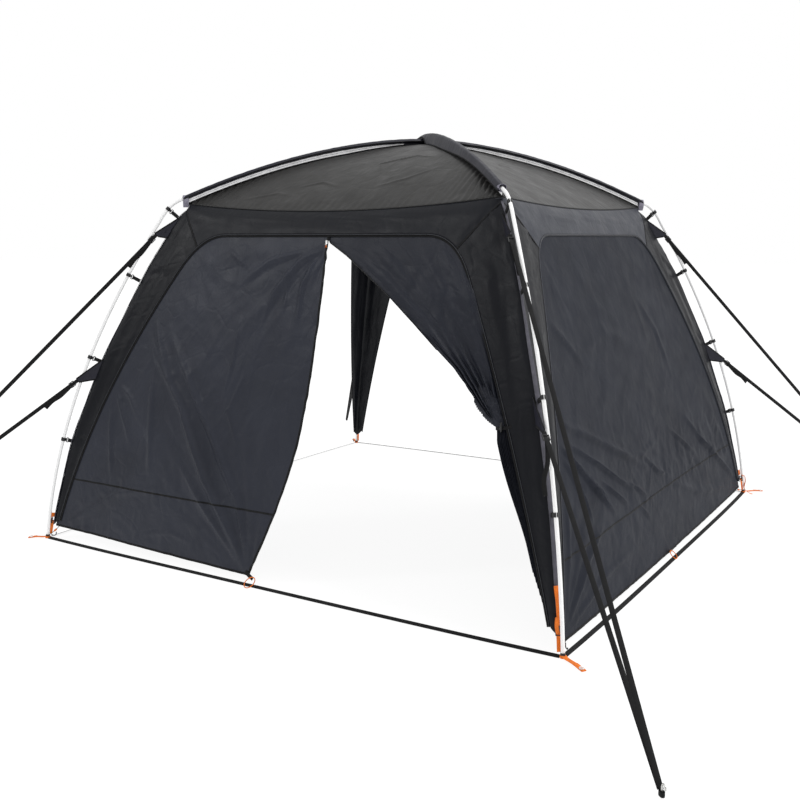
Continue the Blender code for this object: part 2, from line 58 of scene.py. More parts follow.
SLEEVE_HALF_WIDTH = 0.0175
SLEEVE_WIDENING = 0.0065
SLEEVE_FLAP = 0.005
SLEEVE_REACH = {"lower": (-1.336, 1.336), "upper": (-1.336, 1.320)}
CROSSING_RISE = 0.0248
CROSSING_SPREAD = 0.45
VENT_HEIGHT = 0.020
VENT_TAPER = 0.45
VENT_START = 0.12
SKIN_FOOT = 2.105
SKIN_LEAN = 0.180
SKIN_BOW = 0.142
SHOULDER = 1.70
SHOULDER_BOW = 5.2
EAVE_HALF = 0.926
EAVE_SAG = {"front": 0.050, "right": 0.032, "back": 0.032, "left": 0.032}
ROOF_TIP = 0.010
LAP = 0.020
LAYER = 0.0058
ARCH_TOP = 1.63
ARCH_FLAT = 0.60
ARCH_SHOULDER = 1.46
LEG_FOOT_WIDTH = 0.030
LEG_WIDENING = 0.144
LEG_HEM = 0.09
SEAM_START = 0.62
SEAM_TOP = 1.772
WALL_HEM = 0.027
WALL_HEM_RISE = 0.017
DOOR_HEM = 0.040
DOOR_HEM_RISE = 0.036
ZIP_TOP = (0.055, 1.598)
DOOR_SWELL = 0.112
DOOR_SWELL_HEIGHT = 1.00
TIE_HEIGHT = 0.84
WEBBING = 0.022
GUY_REACH = 3.10
GUY_FOOT = 0.014
UPPER_GUSSET = (1.722, 1.615, 1.484, 1.630)
LOWER_GUSSET = (0.975, 0.865, 1.922, 0.862)
GUY_SIDE = {"front_right": -1, "back_right": -1, "back_left": -1, "front_left": 1}
GUY_FACING = {"front_right": "across", "back_right": "along", "back_left": "across", "front_left": "along"}
GUY_OFFSET = {"along": 0.0125, "across": 0.0215}
GUY_DRIFT = {"along": 0.0, "across": -0.10}
CLIP_HEIGHTS = (1.767, 1.42, 0.985, 0.545)
TAB_LENGTH = {"front_right": 0.135, "back_right": 0.135, "back_left": 0.135, "front_left": 0.100}
TAB_DRIFT = {"front_right": 0.22, "back_right": 0.0, "back_left": 0.0, "front_left": -0.25}
LIFT_TOP = {"front_right": 0.27, "back_right": 0.15, "back_left": 0.14, "front_left": 0.14}
STRAP_OUT = 0.0130
STRAP_HEIGHT = 0.0052
STRAP_ROLL = 20
HEM_TIE_FRONT = -0.062
HEM_TIE_RIGHT = -0.060
WALL_SEAM = 0.335

# Sizes of the fine work
CLOTH = 0.0012
FOLDED_CLOTH = 0.0008
WEAVE = 0.0011
NET_PITCH = 0.0035
WEBBING_THICKNESS = 0.0018
TAPE = {"front": 0.014, "right": 0.009, "back": 0.010, "left": 0.010}
TAPE_THICKNESS = 0.0016
ZIP_COIL = (0.0045, 0.0020)
PIPING = 0.0018
SEAM_CORD = 0.0028
EDGE_ROUNDING = 0.012
EDGE_BINDING = (0.0200, 0.0034)
SIDE_BOW = {"front": 0.006, "right": 0.024, "back": 0.014, "left": 0.014}
ROOF_DROP = 0.0049
EAVE_DROP = 0.0006
DOOR_CURVES = (0.230, 0.160)
SEAM_TAPES = {"wall": (0.0080, 0.0018), "door": (0.0090, 0.0018)}
HEM_TAPE = (0.0120, 0.0030)
ZIP_EDGE = (0.0130, 0.0034)
DRAWN_TAPE = (0.0130, 0.0030)
FOLD_BACK = 0.012
TAIL_LOW = 0.10
TAIL_SHORT = 0.20
PLEATS = 11
PLEAT_DEPTH = 0.038
CAP_RADIUS = POLE_RADIUS + 0.0022
CLIP_RADIUS = 0.0106
CLIP_WIDTH = 0.0190
LOCK_WIDTH = 0.026
LOCK_LENGTH = 0.030
LOCK_HEIGHT = 0.098
PEG_WIRE = 0.0029
RING_LEAN = {"front": 0.026, "right": 0.017}
SHARP_ANGLE = 35

# Studio: the floor's half width, its tone and the light that it gives off
FLOOR_HALF = 60
FLOOR_TONE = 0.18
FLOOR_GLOW = 0.90

# View of the photograph, in metres and degrees
CAMERA_PLACE = (2.8732, -4.9398, 1.6110)
CAMERA_DIP = 9.234
CAMERA_TURN = 31.617
CAMERA_LENS = 44.675

SIDES = {"front": 0, "right": 90, "back": 180, "left": 270}
CORNERS = {"front_right": 0, "back_right": 90, "back_left": 180, "front_left": 270}
CORNER_SIDES = {"front_right": ("front", "right"), "back_right": ("right", "back"),
                "back_left": ("back", "left"), "front_left": ("left", "front")}
RAISED = ("front_right", "back_left")
OUTWARD = np.array((1, -1, 0)) / sqrt(2)
ACROSS = np.array((1, 1, 0)) / sqrt(2)
UP = np.array((0.0, 0.0, 1.0))
AXES = np.array((OUTWARD, ACROSS, UP))


# Vectors and lines
def unit(vectors):
    return vectors / np.maximum(np.linalg.norm(vectors, axis=-1, keepdims=True), 1e-9)


def circle(angles):
    return np.stack((np.cos(angles), np.sin(angles)), -1)


def distances(line):
    """Length of a line up to each of its points."""
    return np.concatenate(([0], np.cumsum(np.linalg.norm(np.diff(line, axis=0), axis=1))))


def point_along(line, share):
    """Across and height at a share of a line's length."""
    line = np.array(line)
    place = distances(line)
    return tuple(np.interp(share, place / place[-1], line[:, k]) for k in (0, 1))


def shares(rows, columns, first=-1):
    """A column of shares from 0 to 1 and a row of shares from first to 1."""
    return np.linspace(0, 1, rows)[:, None], np.linspace(first, 1, columns)[None]


# Shapes of the frame and the skin
def sleeve_top(reach):
    return APEX_TOP - ARCH_DROP * (np.abs(reach) / SLEEVE_END) ** ARCH_POWER


def crossing(reach):
    return CROSSING_RISE * np.exp(-(reach / CROSSING_SPREAD) ** 2)


def pole_axis(reach, upper):
    return sleeve_top(reach) - SLEEVE_HALF_DEPTH + (crossing(reach) if upper else 0)


def leg_reach(height):
    return DIAGONAL - LEG_LEAN * height - LEG_BOW * height ** 2


def skin_half(height):
    shoulder = np.maximum(0.0, height - SHOULDER)
    reach = SKIN_FOOT - SKIN_LEAN * height - SKIN_BOW * height ** 2 - SHOULDER_BOW * shoulder ** 2
    return reach / sqrt(2)


def roof_seam(reach):
    vent = VENT_HEIGHT * np.minimum(1.0, np.abs(reach) / VENT_TAPER)
    return sleeve_top(reach) - 2 * SLEEVE_HALF_DEPTH - vent - ROOF_DROP


def leg_edge(height):
    return skin_half(height) - LEG_FOOT_WIDTH - LEG_WIDENING * height


def shoulder_point(t):
    """Point on the rounded top corner of a side opening, from the flat top to the side."""
    across = (1 - t) ** 2 * ARCH_FLAT + 2 * t * (1 - t) * leg_edge(ARCH_TOP) + t * t * leg_edge(ARCH_SHOULDER)
    return across, ARCH_TOP - (ARCH_TOP - ARCH_SHOULDER) * t * t


def corner_seam(t):
    start = shoulder_point(SEAM_START)
    end = (skin_half(SEAM_TOP), SEAM_TOP)
    return start[0] + (end[0] - start[0]) * t, start[1] + (end[1] - start[1]) * t


def opening_half(height):
    t = np.sqrt(np.maximum(0.0, ARCH_TOP - height) / (ARCH_TOP - ARCH_SHOULDER))
    return np.where(height <= ARCH_SHOULDER, leg_edge(height), shoulder_point(np.minimum(t, 1.0))[0])


def eave_top(side, across):
    return roof_seam(EAVE_HALF * sqrt(2)) - EAVE_DROP - EAVE_SAG[side] * (1 - (across / EAVE_HALF) ** 2)


def door_edge(height):
    """Free edge of the closed door half, as its cloth hangs."""
    swell = np.where(height < DOOR_SWELL_HEIGHT, *DOOR_CURVES)
    return DOOR_SWELL - swell * (np.minimum(height, ZIP_TOP[1]) - DOOR_SWELL_HEIGHT) ** 2


def side_bow(side, across, height):
    """How far the tensioned cloth of a side curves inward."""
    width = np.clip(1 - (across / skin_half(height)) ** 2, 0, 1)
    rise = np.sin(pi * np.clip(height / SEAM_TOP, 0, 1))
    return SIDE_BOW[side] * width * np.maximum(rise, 0)


def wall_point(side, across, height, inset=0.0):
    """Point of a side's wall, in the frame of the front side."""
    depth = skin_half(height) - side_bow(side, across, height) - inset
    return np.stack(np.broadcast_arrays(across, -depth, height), -1)


def diagonal_point(reach, height, offset=0.0):
    reach, height, offset = np.broadcast_arrays(reach, height, offset)
    return reach[..., None] * OUTWARD + offset[..., None] * ACROSS + height[..., None] * UP


def leg_path(upper):
    """Axis of a leg: bowed up to the shoulder, round the elbow and into the sleeve."""
    heights = np.linspace(POLE_FOOT, LEG_TOP, 60)
    leg = np.stack((leg_reach(heights), heights), -1)
    start = leg[-1]
    end = np.array((SLEEVE_END + 0.02, pole_axis(SLEEVE_END + 0.02, upper)))
    t = np.linspace(0, 1, 15)[1:, None]
    elbow = (1 - t) ** 2 * start + 2 * t * (1 - t) * np.array((ELBOW_REACH, ELBOW_HEIGHT)) + t * t * end
    reaches = np.linspace(end[0], JOINT_REACH + 0.0004, 6)[1:]
    rest = np.stack((reaches, pole_axis(reaches, upper)), -1)
    return np.concatenate((leg, elbow, rest))


def pole_at(height, upper):
    """Point and direction of a leg's axis at a height."""
    path = leg_path(upper)
    index = int(np.argmax(path[:, 1] > height))
    low, high = path[index - 1], path[index]
    t = (height - low[1]) / (high[1] - low[1])
    point = low + (high - low) * t
    return diagonal_point(*point), unit(diagonal_point(*(high - low)))


# Noise and folds, as heights over a pair of coordinates in metres
def noise(a, b, seed):
    """Smooth gradient noise, about -1 to 1, with cells one unit wide."""
    table = np.random.RandomState(seed).permutation(256)
    a, b = np.broadcast_arrays(a, b)
    cell_a = np.floor(a).astype(int)
    cell_b = np.floor(b).astype(int)
    part_a = a - cell_a
    part_b = b - cell_b

    def corner(i, j):
        angle = table[(table[(cell_a + i) & 255] + cell_b + j) & 255] * (2 * pi / 256)
        return np.cos(angle) * (part_a - i) + np.sin(angle) * (part_b - j)

    ease_a = part_a ** 3 * (part_a * (part_a * 6 - 15) + 10)
    ease_b = part_b ** 3 * (part_b * (part_b * 6 - 15) + 10)
    low = corner(0, 0) + (corner(1, 0) - corner(0, 0)) * ease_a
    high = corner(0, 1) + (corner(1, 1) - corner(0, 1)) * ease_a
    return (low + (high - low) * ease_b) * 1.5


def crumple(a, b, seed):
    """Sharp-edged creases of crushed cloth in three sizes, from 0 to about 1."""
    warp_a = a + 0.5 * noise(a * 1.3 + 7, b * 1.3, seed + 50)
    warp_b = b + 0.5 * noise(a * 1.3, b * 1.3 + 5, seed + 51)
    total = 0
    for k in range(3):
        total = total + 0.5 ** k * (1 - np.abs(noise(warp_a * 2 ** k, warp_b * 2 ** k, seed + k))) ** 3
    return total / 1.75


def creases(a, b, seed, level, *layers):
    """Crumples added up, each a (height, scale along a, scale along b, step of the seed)."""
    return sum(height * (crumple(a * scale_a, b * scale_b, seed + step) - level)
               for height, scale_a, scale_b, step in layers)


def ridge(a, b, line, width, height):
    """A fold along a broken line, which fades at both ends."""
    line = np.array(line, float)
    steps = np.linalg.norm(np.diff(line, axis=0), axis=1)
    total = steps.sum()
    done = 0.0
    result = np.zeros_like(a, dtype=float)
    for start, end, length in zip(line, line[1:], steps):
        way = (end - start) / length
        along = np.clip((a - start[0]) * way[0] + (b - start[1]) * way[1], 0, length)
        apart = np.hypot(a - start[0] - way[0] * along, b - start[1] - way[1] * along)
        fade = np.sin(pi * np.clip((done + along) / total, 0.02, 0.98)) ** 0.7
        result = np.maximum(result, np.exp(-(apart / width) ** 2) * fade)
        done += length
    return height * result


def fan(a, b, origin, heading, spread, folds, reach, height, seed):
    """Folds that run out from a point, within a spread of angles each side of a heading."""
    distance = np.hypot(a - origin[0], b - origin[1])
    angle = np.arctan2(b - origin[1], a - origin[0]) - radians(heading)
    angle = (angle + pi) % (2 * pi) - pi
    window = np.clip(1 - (angle / radians(spread)) ** 2, 0, 1)
    near = distance / reach
    fade = np.clip(near / 0.12, 0, 1) * np.clip(1 - near, 0, 1) ** 0.8
    return height * window * fade * noise(angle * folds, near * 1.5 + 3, seed)


def fans_and_folds(a, b, seed, fans, folds, width_share, height_share):
    """Fans and single folds of a wall, added up."""
    total = 0
    for *shape, step in fans:
        total = total + fan(a, b, *shape, seed + step)
    for line, width, height in folds:
        total = total + ridge(a, b, line, width * width_share, height * height_share)
    return total


def rows_of_wall(v):
    """Share of a wall's height at each row: closest together where its folds and its top corners are."""
    lower = np.interp(v, (0, 0.60, 0.83), (0, 0.54, 0.885))
    return np.where(v < 0.83, lower, 0.885 + 0.115 * np.sin((np.clip(v, 0.83, 1) - 0.83) / 0.17 * pi / 2))


def smooth(value, low, high):
    t = np.clip((value - low) / (high - low), 0, 1)
    return t * t * (3 - 2 * t)


# Meshes
def grid_body(points, uv, wrap=False, caps=False):
    """A grid of points (rows, columns, 3) as faces, with a UV in metres at each corner."""
    rows, columns = points.shape[:2]
    index = np.arange(rows * columns).reshape(rows, columns)
    if wrap:
        index = np.concatenate((index, index[:, :1]), 1)
    faces = np.stack((index[:-1, :-1], index[:-1, 1:], index[1:, 1:], index[1:, :-1]), -1).reshape(-1, 4)
    corners = np.stack((uv[:-1, :-1], uv[:-1, 1:], uv[1:, 1:], uv[1:, :-1]), 2).reshape(-1, 2)
    faces = faces.tolist()
    if caps:
        faces += [index[0, :-1][::-1].tolist(), index[-1, :-1].tolist()]
        corners = np.concatenate((corners, np.zeros((2 * (index.shape[1] - 1), 2))))
    return {"points": points.reshape(-1, 3), "faces": faces, "uv": corners}


def turned(points, degrees):
    angle = radians(degrees)
    x, y, z = points[..., 0], points[..., 1], points[..., 2]
    return np.stack((x * cos(angle) - y * sin(angle), x * sin(angle) + y * cos(angle), z), -1)


def add(name, bodies, material, degrees=0, stands_for=None,
        thickness=0.0, offset=0.0, sharp=None):
    """One piece of several bodies: it rides on the frame and may stand for a CAD node."""
    points, faces, corners, count = [], [], [], 0
    for body in bodies:
        points.append(body["points"])
        faces += [[index + count for index in face] for face in body["faces"]]
        corners.append(body["uv"])
        count += len(body["points"])
    mesh = bpy.data.meshes.new(name)
    mesh.from_pydata(turned(np.concatenate(points), degrees).tolist(), [], faces)
    layer = mesh.uv_layers.new(name="UVMap")
    layer.data.foreach_set("uv", np.concatenate(corners).astype(np.float32).ravel())
    mesh.shade_smooth()
    if sharp:
        mesh.set_sharp_from_angle(angle=radians(sharp))
    mesh.materials.append(material)
    item = bpy.data.objects.new(name, mesh)
    bpy.context.scene.collection.objects.link(item)
    if thickness:
        shell = item.modifiers.new("cloth", "SOLIDIFY")
        shell.thickness = thickness
        shell.offset = offset
    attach(item, "root")
    if stands_for:
        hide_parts(stands_for)
    return item


def normals(points):
    """Directions square to a grid of points, at each of them."""
    return unit(np.cross(np.gradient(points, axis=1), np.gradient(points, axis=0)))


def round_profile(radius, sides=12):
    return circle(np.arange(sides) * 2 * pi / sides) * radius


def flat_profile(width, thickness):
    """Section of a strap with rounded edges, its longer side along either axis."""
    wide, thin = max(width, thickness), min(width, thickness)
    right = circle(np.linspace(-pi / 2, pi / 2, 4)) * thin / 2 + (wide / 2 - thin / 2, 0)
    section = np.concatenate((right, -right))
    return section if width >= thickness else np.stack((-section[:, 1], section[:, 0]), -1)


def sweep(points, profile, up, scale=1.0, closed=False):
    """A section carried along a line; its second axis lies along up."""
    points = np.asarray(points, float)
    if closed:
        way = unit(np.roll(points, -1, 0) - np.roll(points, 1, 0))
    else:
        way = unit(np.gradient(points, axis=0))
    side = unit(np.cross(way, up))
    over = np.cross(side, way)
    section = profile * np.broadcast_to(scale, len(points))[:, None, None]
    rings = points[:, None] + side[:, None] * section[..., :1] + over[:, None] * section[..., 1:]
    along = distances(points)
    around = distances(np.concatenate((profile, profile[:1])))
    if closed:
        rings = np.concatenate((rings, rings[:1]))
        along = np.append(along, along[-1] + np.linalg.norm(points[0] - points[-1]))
    uv = np.stack(np.meshgrid(along, around, indexing="ij"), -1)
    return grid_body(rings, uv, wrap=True, caps=not closed)


def tube(points, radius, up=(0.0, 0.0, 1.0), sides=12):
    return sweep(points, round_profile(radius, sides), up)


def curve(points, count=24):
    """A smooth line through points."""
    points = np.array(points, float)
    padded = np.concatenate((2 * points[:1] - points[1:2], points, 2 * points[-1:] - points[-2:-1]))
    spans = len(points) - 1
    place = np.linspace(0, spans, count)
    index = np.minimum(place.astype(int), spans - 1)
    t = (place - index)[:, None]
    a, b, c, d = (padded[index + k] for k in range(4))
    slope = (c - a) * t
    bend = (2 * a - 5 * b + 4 * c - d) * t ** 2
    return 0.5 * (2 * b + slope + bend + (3 * b - a - 3 * c + d) * t ** 3)


def loop(middle, first, second, count=26):
    """Points round an ellipse, from its two half axes."""
    angles = np.linspace(0, 2 * pi, count, endpoint=False)
    return middle + circle(angles) @ np.array((first, second))


def ring(middle, axis, radius, wire):
    """A closed ring of round wire."""
    axis = unit(np.asarray(axis, float))
    first = unit(np.cross(axis, UP if abs(axis[2]) < 0.9 else OUTWARD))
    line = loop(middle, first * radius, np.cross(axis, first) * radius, 28)
    return sweep(line, round_profile(wire, 10), axis, closed=True)


def block(middle, axes, size):
    """A box with rounded edges; axes are the directions of its width, depth and height."""
    half = np.array(size) / 2
    soft = min(size) * 0.25
    turn = circle(np.linspace(0, 2 * pi, 17)[:-1] + pi / 16)
    corner = np.sign(turn) * (half[:2] - soft)
    rings = []
    for height, share in ((-half[2], 0.4), (soft - half[2], 1.0), (half[2] - soft, 1.0), (half[2], 0.4)):
        rings.append(np.concatenate((corner + turn * soft * share, np.full((16, 1), height)), 1))
    points = np.asarray(middle) + np.array(rings) @ np.array(axes)
    return grid_body(points, np.zeros((4, 17, 2)), wrap=True, caps=True)


def strap(points, width_way, width, thickness):
    """Webbing along points, its width along width_way."""
    points = np.asarray(points, float)
    way = np.gradient(points, axis=0)
    return sweep(points, flat_profile(width, thickness), np.cross(width_way, way))


# Materials
def fill(item, **values):
    """Set inputs of a node; an underscore in a name stands for a space."""
    for key, value in values.items():
        item.inputs[key.replace("_", " ")].default_value = value
    return item


def start_material(name, color, roughness, specular=0.5, metallic=0.0):
    material = bpy.data.materials.new(name)
    material.use_nodes = True
    tree = material.node_tree
    shader = fill(tree.nodes["Principled BSDF"], Base_Color=(*color, 1), Roughness=roughness,
                  Specular_IOR_Level=specular, Metallic=metallic)
    return material, tree, shader


def node(tree, kind, settings=None, **inputs):
    new = tree.nodes.new(kind)
    for key, value in (settings or {}).items():
        setattr(new, key, value)
    return fill(new, **inputs)


def noise_node(tree, where, scale, detail=4.0, roughness=0.55, distortion=0.0):
    texture = node(tree, "ShaderNodeTexNoise", Scale=scale, Detail=detail, Roughness=roughness,
                   Distortion=distortion)
    tree.links.new(where, texture.inputs["Vector"])
    return texture.outputs["Fac"]


def wave_node(tree, where, period, direction, distortion=0.0):
    """Bands across a direction, a period apart in metres."""
    texture = node(tree, "ShaderNodeTexWave", {"bands_direction": direction},
                   Scale=pi / (10 * period), Distortion=distortion, Detail_Scale=1.0)
    tree.links.new(where, texture.inputs["Vector"])
    return texture.outputs["Fac"]


def spread(tree, value, low, high, start=0.3, end=0.7, blend="LINEAR"):
    """Map a range of a value, by default the middle of a noise, to another."""
    ramp = node(tree, "ShaderNodeMapRange", {"interpolation_type": blend},
                From_Min=start, From_Max=end, To_Min=low, To_Max=high)
    tree.links.new(value, ramp.inputs["Value"])
    return ramp.outputs["Result"]


def tint(tree, shader, value, color, low, high):
    """Base colour that varies between two shades of one colour."""
    mix = node(tree, "ShaderNodeMix", {"data_type": "RGBA"})
    mix.inputs[6].default_value = (*[c * low for c in color], 1)
    mix.inputs[7].default_value = (*[c * high for c in color], 1)
    tree.links.new(value, mix.inputs[0])
    tree.links.new(mix.outputs[2], shader.inputs["Base Color"])
    return mix


def add_bump(tree, shader, layers):
    """Bumps one over another, each a (height, strength, distance)."""
    before = None
    for height, strength, distance in layers:
        bump = node(tree, "ShaderNodeBump", Strength=strength, Distance=distance)
        tree.links.new(height, bump.inputs["Height"])
        if before:
            tree.links.new(before, bump.inputs["Normal"])
        before = bump.outputs["Normal"]
    tree.links.new(before, shader.inputs["Normal"])


def combine(tree, first, second, operation="ADD"):
    math = node(tree, "ShaderNodeMath", {"operation": operation})
    tree.links.new(first, math.inputs[0])
    tree.links.new(second, math.inputs[1])
    return math.outputs["Value"]


def cloth_material(name, color, roughness, specular, crinkle):
    """Coated woven polyester: plain weave, fine crinkles and crossing creases."""
    material, tree, shader = start_material(name, color, roughness, specular)
    where = node(tree, "ShaderNodeTexCoord").outputs["UV"]
    patches = noise_node(tree, where, 2.6, 6.0, 0.6, 0.4)
    tint(tree, shader, spread(tree, patches, 0.0, 1.0), color, 0.86, 1.16)
    gloss = noise_node(tree, where, 9.0, 4.0)
    tree.links.new(spread(tree, gloss, roughness - 0.05, roughness + 0.07), shader.inputs["Roughness"])
    weave = combine(tree, wave_node(tree, where, WEAVE, "X"), wave_node(tree, where, WEAVE, "Y"))
    soft = noise_node(tree, where, 11.0, 5.0, 0.55, 0.8)
    warp = node(tree, "ShaderNodeTexNoise", Scale=5.0, Detail=3.0)
    tree.links.new(where, warp.inputs["Vector"])
    shifted = node(tree, "ShaderNodeVectorMath", {"operation": "MULTIPLY_ADD"})
    tree.links.new(warp.outputs["Color"], shifted.inputs[0])
    shifted.inputs[1].default_value = (0.09, 0.09, 0.0)
    tree.links.new(where, shifted.inputs[2])
    cells = node(tree, "ShaderNodeTexVoronoi", {"feature": "DISTANCE_TO_EDGE"}, Scale=8.0)
    tree.links.new(shifted.outputs["Vector"], cells.inputs["Vector"])
    fold = spread(tree, cells.outputs["Distance"], 0.0, 1.0, 0.0, 0.10, "SMOOTHSTEP")
    add_bump(tree, shader, ((weave, 0.12, 0.0002), (soft, 0.5, 0.006 * crinkle),
                            (fold, 0.35, 0.0016 * crinkle)))
    return material


def webbing_material(name, color, roughness=0.75):
    """Ribbed flat webbing with a herringbone of fine threads."""
    material, tree, shader = start_material(name, color, roughness, 0.3)
    fill(shader, Sheen_Weight=0.03)
    where = node(tree, "ShaderNodeTexCoord").outputs["UV"]
    shade = noise_node(tree, where, 30.0, 5.0, 0.6)
    tint(tree, shader, spread(tree, shade, 0.0, 1.0), color, 0.75, 1.25)
    ribs = wave_node(tree, where, 0.0022, "X", 0.6)
    threads = wave_node(tree, where, 0.0016, "Y", 0.4)
    both = combine(tree, ribs, threads)
    add_bump(tree, shader, ((both, 0.5, 0.0005), (shade, 0.2, 0.0006)))
    return material


def mesh_material(name, color):
    """Pale knitted net: threads with dark holes between, and a faint glow in its own colour that is painted
    light.
    """
    material, tree, shader = start_material(name, color, 0.8, 0.2)
    where = node(tree, "ShaderNodeTexCoord").outputs["UV"]
    threads = [wave_node(tree, where, NET_PITCH, direction) for direction in "XY"]
    holes = combine(tree, *threads, "MULTIPLY")
    blotches = noise_node(tree, where, 22.0, 5.0, 0.6)
    level = combine(tree, spread(tree, blotches, 0.55, 1.35), holes, "SUBTRACT")
    mix = tint(tree, shader, level, color, 0.62, 1.1)
    mix.clamp_factor = True
    # Painted light: the net glows in its own colour, so it looks lit in the sleeve's shade
    tree.links.new(mix.outputs[2], shader.inputs["Emission Color"])
    fill(shader, Emission_Strength=0.25)
    add_bump(tree, shader, ((holes, 0.4, 0.0006), (blotches, 0.3, 0.002)))
    return material


def paint_material(name, color):
    """Powder-coated tube: fine orange peel, with scuffs along it, and a faint white glow that is painted
    light.
    """
    material, tree, shader = start_material(name, color, 0.32, 0.5)
    # Painted light: a faint white glow keeps the tube as bright as the white studio around it
    fill(shader, Coat_Weight=0.25, Coat_Roughness=0.2, Emission_Color=(1, 1, 1, 1), Emission_Strength=0.06)
    where = node(tree, "ShaderNodeTexCoord").outputs["UV"]
    stretched = node(tree, "ShaderNodeMapping", Scale=(4.0, 60.0, 1.0))
    tree.links.new(where, stretched.inputs["Vector"])
    scuffs = noise_node(tree, stretched.outputs["Vector"], 3.0, 6.0, 0.65)
    tint(tree, shader, spread(tree, scuffs, 0.0, 1.0), color, 0.93, 1.03)
    tree.links.new(spread(tree, scuffs, 0.26, 0.42), shader.inputs["Roughness"])
    peel = noise_node(tree, where, 420.0, 2.0)
    add_bump(tree, shader, ((peel, 0.15, 0.0002),))
    return material


def moulded_material(name, color):
    """Moulded plastic with a fine grain and rubbed edges."""
    material, tree, shader = start_material(name, color, 0.42, 0.45)
    where = node(tree, "ShaderNodeTexCoord").outputs["Object"]
    grain = noise_node(tree, where, 900.0, 2.0)
    rub = noise_node(tree, where, 60.0, 4.0)
    tint(tree, shader, spread(tree, rub, 0.0, 1.0), color, 0.8, 1.5)
    tree.links.new(spread(tree, rub, 0.36, 0.54), shader.inputs["Roughness"])
    add_bump(tree, shader, ((grain, 0.25, 0.0002),))
    return material


def plated_material(name, color):
    """Zinc-plated steel with dull spots."""
    material, tree, shader = start_material(name, color, 0.3, 0.5, 1.0)
    where = node(tree, "ShaderNodeTexCoord").outputs["Object"]
    spots = noise_node(tree, where, 140.0, 5.0, 0.6)
    tint(tree, shader, spread(tree, spots, 0.0, 1.0), color, 0.8, 1.05)
    tree.links.new(spread(tree, spots, 0.22, 0.45), shader.inputs["Roughness"])
    add_bump(tree, shader, ((spots, 0.15, 0.0003),))
    return material


ROOF = cloth_material("roof_cloth", (0.0150, 0.0146, 0.0140), 0.45, 0.38, 0.6)
WALL = cloth_material("wall_cloth", (0.0270, 0.0298, 0.0410), 0.44, 0.20, 1.0)
# Painted shade: a darker, less glossy copy of the wall cloth, for the right wall
SHADED_WALL = cloth_material("shaded_wall_cloth", (0.0200, 0.0222, 0.0300), 0.50, 0.055, 0.6)
BAND = cloth_material("band_cloth", (0.0060, 0.0068, 0.0100), 0.44, 0.20, 0.7)
# Painted light: a lighter copy of the band cloth, for the band on the right side where more light falls
LIT_BAND = cloth_material("lit_band_cloth", (0.0185, 0.0215, 0.0330), 0.44, 0.33, 0.7)
# Painted shade: a darker, less glossy copy of the wall cloth, for the drawn-back door half and its bundle
DRAWN = cloth_material("shaded_drawn_cloth", (0.0195, 0.0215, 0.0300), 0.44, 0.16, 1.0)
# Painted shade: a darker copy of the band cloth, for the cloth of the corner legs
LEG = cloth_material("leg_cloth", (0.0042, 0.0048, 0.0074), 0.42, 0.20, 0.8)
SLEEVE = cloth_material("sleeve_cloth", (0.0128, 0.0130, 0.0225), 0.45, 0.30, 0.8)
BINDING = webbing_material("binding", (0.26, 0.25, 0.31))
PALE_TRIM = webbing_material("pale_trim", (0.030, 0.032, 0.038), 0.5)
SIDE_TRIM = webbing_material("side_trim", (0.060, 0.062, 0.074), 0.5)
EDGE_TRIM = webbing_material("edge_trim", (0.085, 0.083, 0.102), 0.6)
BLACK_WEBBING = webbing_material("black_webbing", (0.005, 0.005, 0.0055), 0.85)
ORANGE_WEBBING = webbing_material("orange_webbing", (0.83, 0.19, 0.018), 0.65)
NET = mesh_material("vent_mesh", (0.86, 0.86, 0.87))
PAINT = paint_material("glowing_pole_paint", (0.94, 0.94, 0.94))
PLASTIC = moulded_material("black_plastic", (0.010, 0.010, 0.011))
WHITE_PLASTIC = moulded_material("white_plastic", (0.75, 0.75, 0.74))
PLATED = plated_material("peg_steel", (0.62, 0.62, 0.60))


# Cloth
def cloth(name, points, lift, material, stands_for, degrees=0, uv=None, thickness=CLOTH):
    """A sheet pushed along its normals by lift; returns the object and its final grid."""
    folded = points + normals(points) * lift[..., None]
    body = grid_body(folded, points[..., (0, 2)] if uv is None else uv)
    return add(name, [body], material, degrees, stands_for, thickness=thickness), folded


ROOF_FOLDS = {
    "front": (((0.10, -0.62), (0.02, -0.50), (0.20, -0.42), (0.33, -0.46)),
              ((0.14, -0.76), (0.30, -0.70), (0.42, -0.62)),
              ((-0.32, -0.74), (-0.20, -0.70), (-0.08, -0.74)),
              ((-0.60, -0.86), (-0.42, -0.80), (-0.30, -0.82))),
    "right": (((-0.30, -0.60), (-0.16, -0.52), (0.04, -0.55)),
              ((0.10, -0.72), (0.26, -0.66), (0.40, -0.70))),
    "back": (((-0.22, -0.62), (-0.02, -0.55), (0.20, -0.60)),),
    "left": (((-0.10, -0.66), (0.12, -0.58), (0.30, -0.66)),),
}
ROOF_GRID = {"front": (110, 190), "right": (90, 120)}


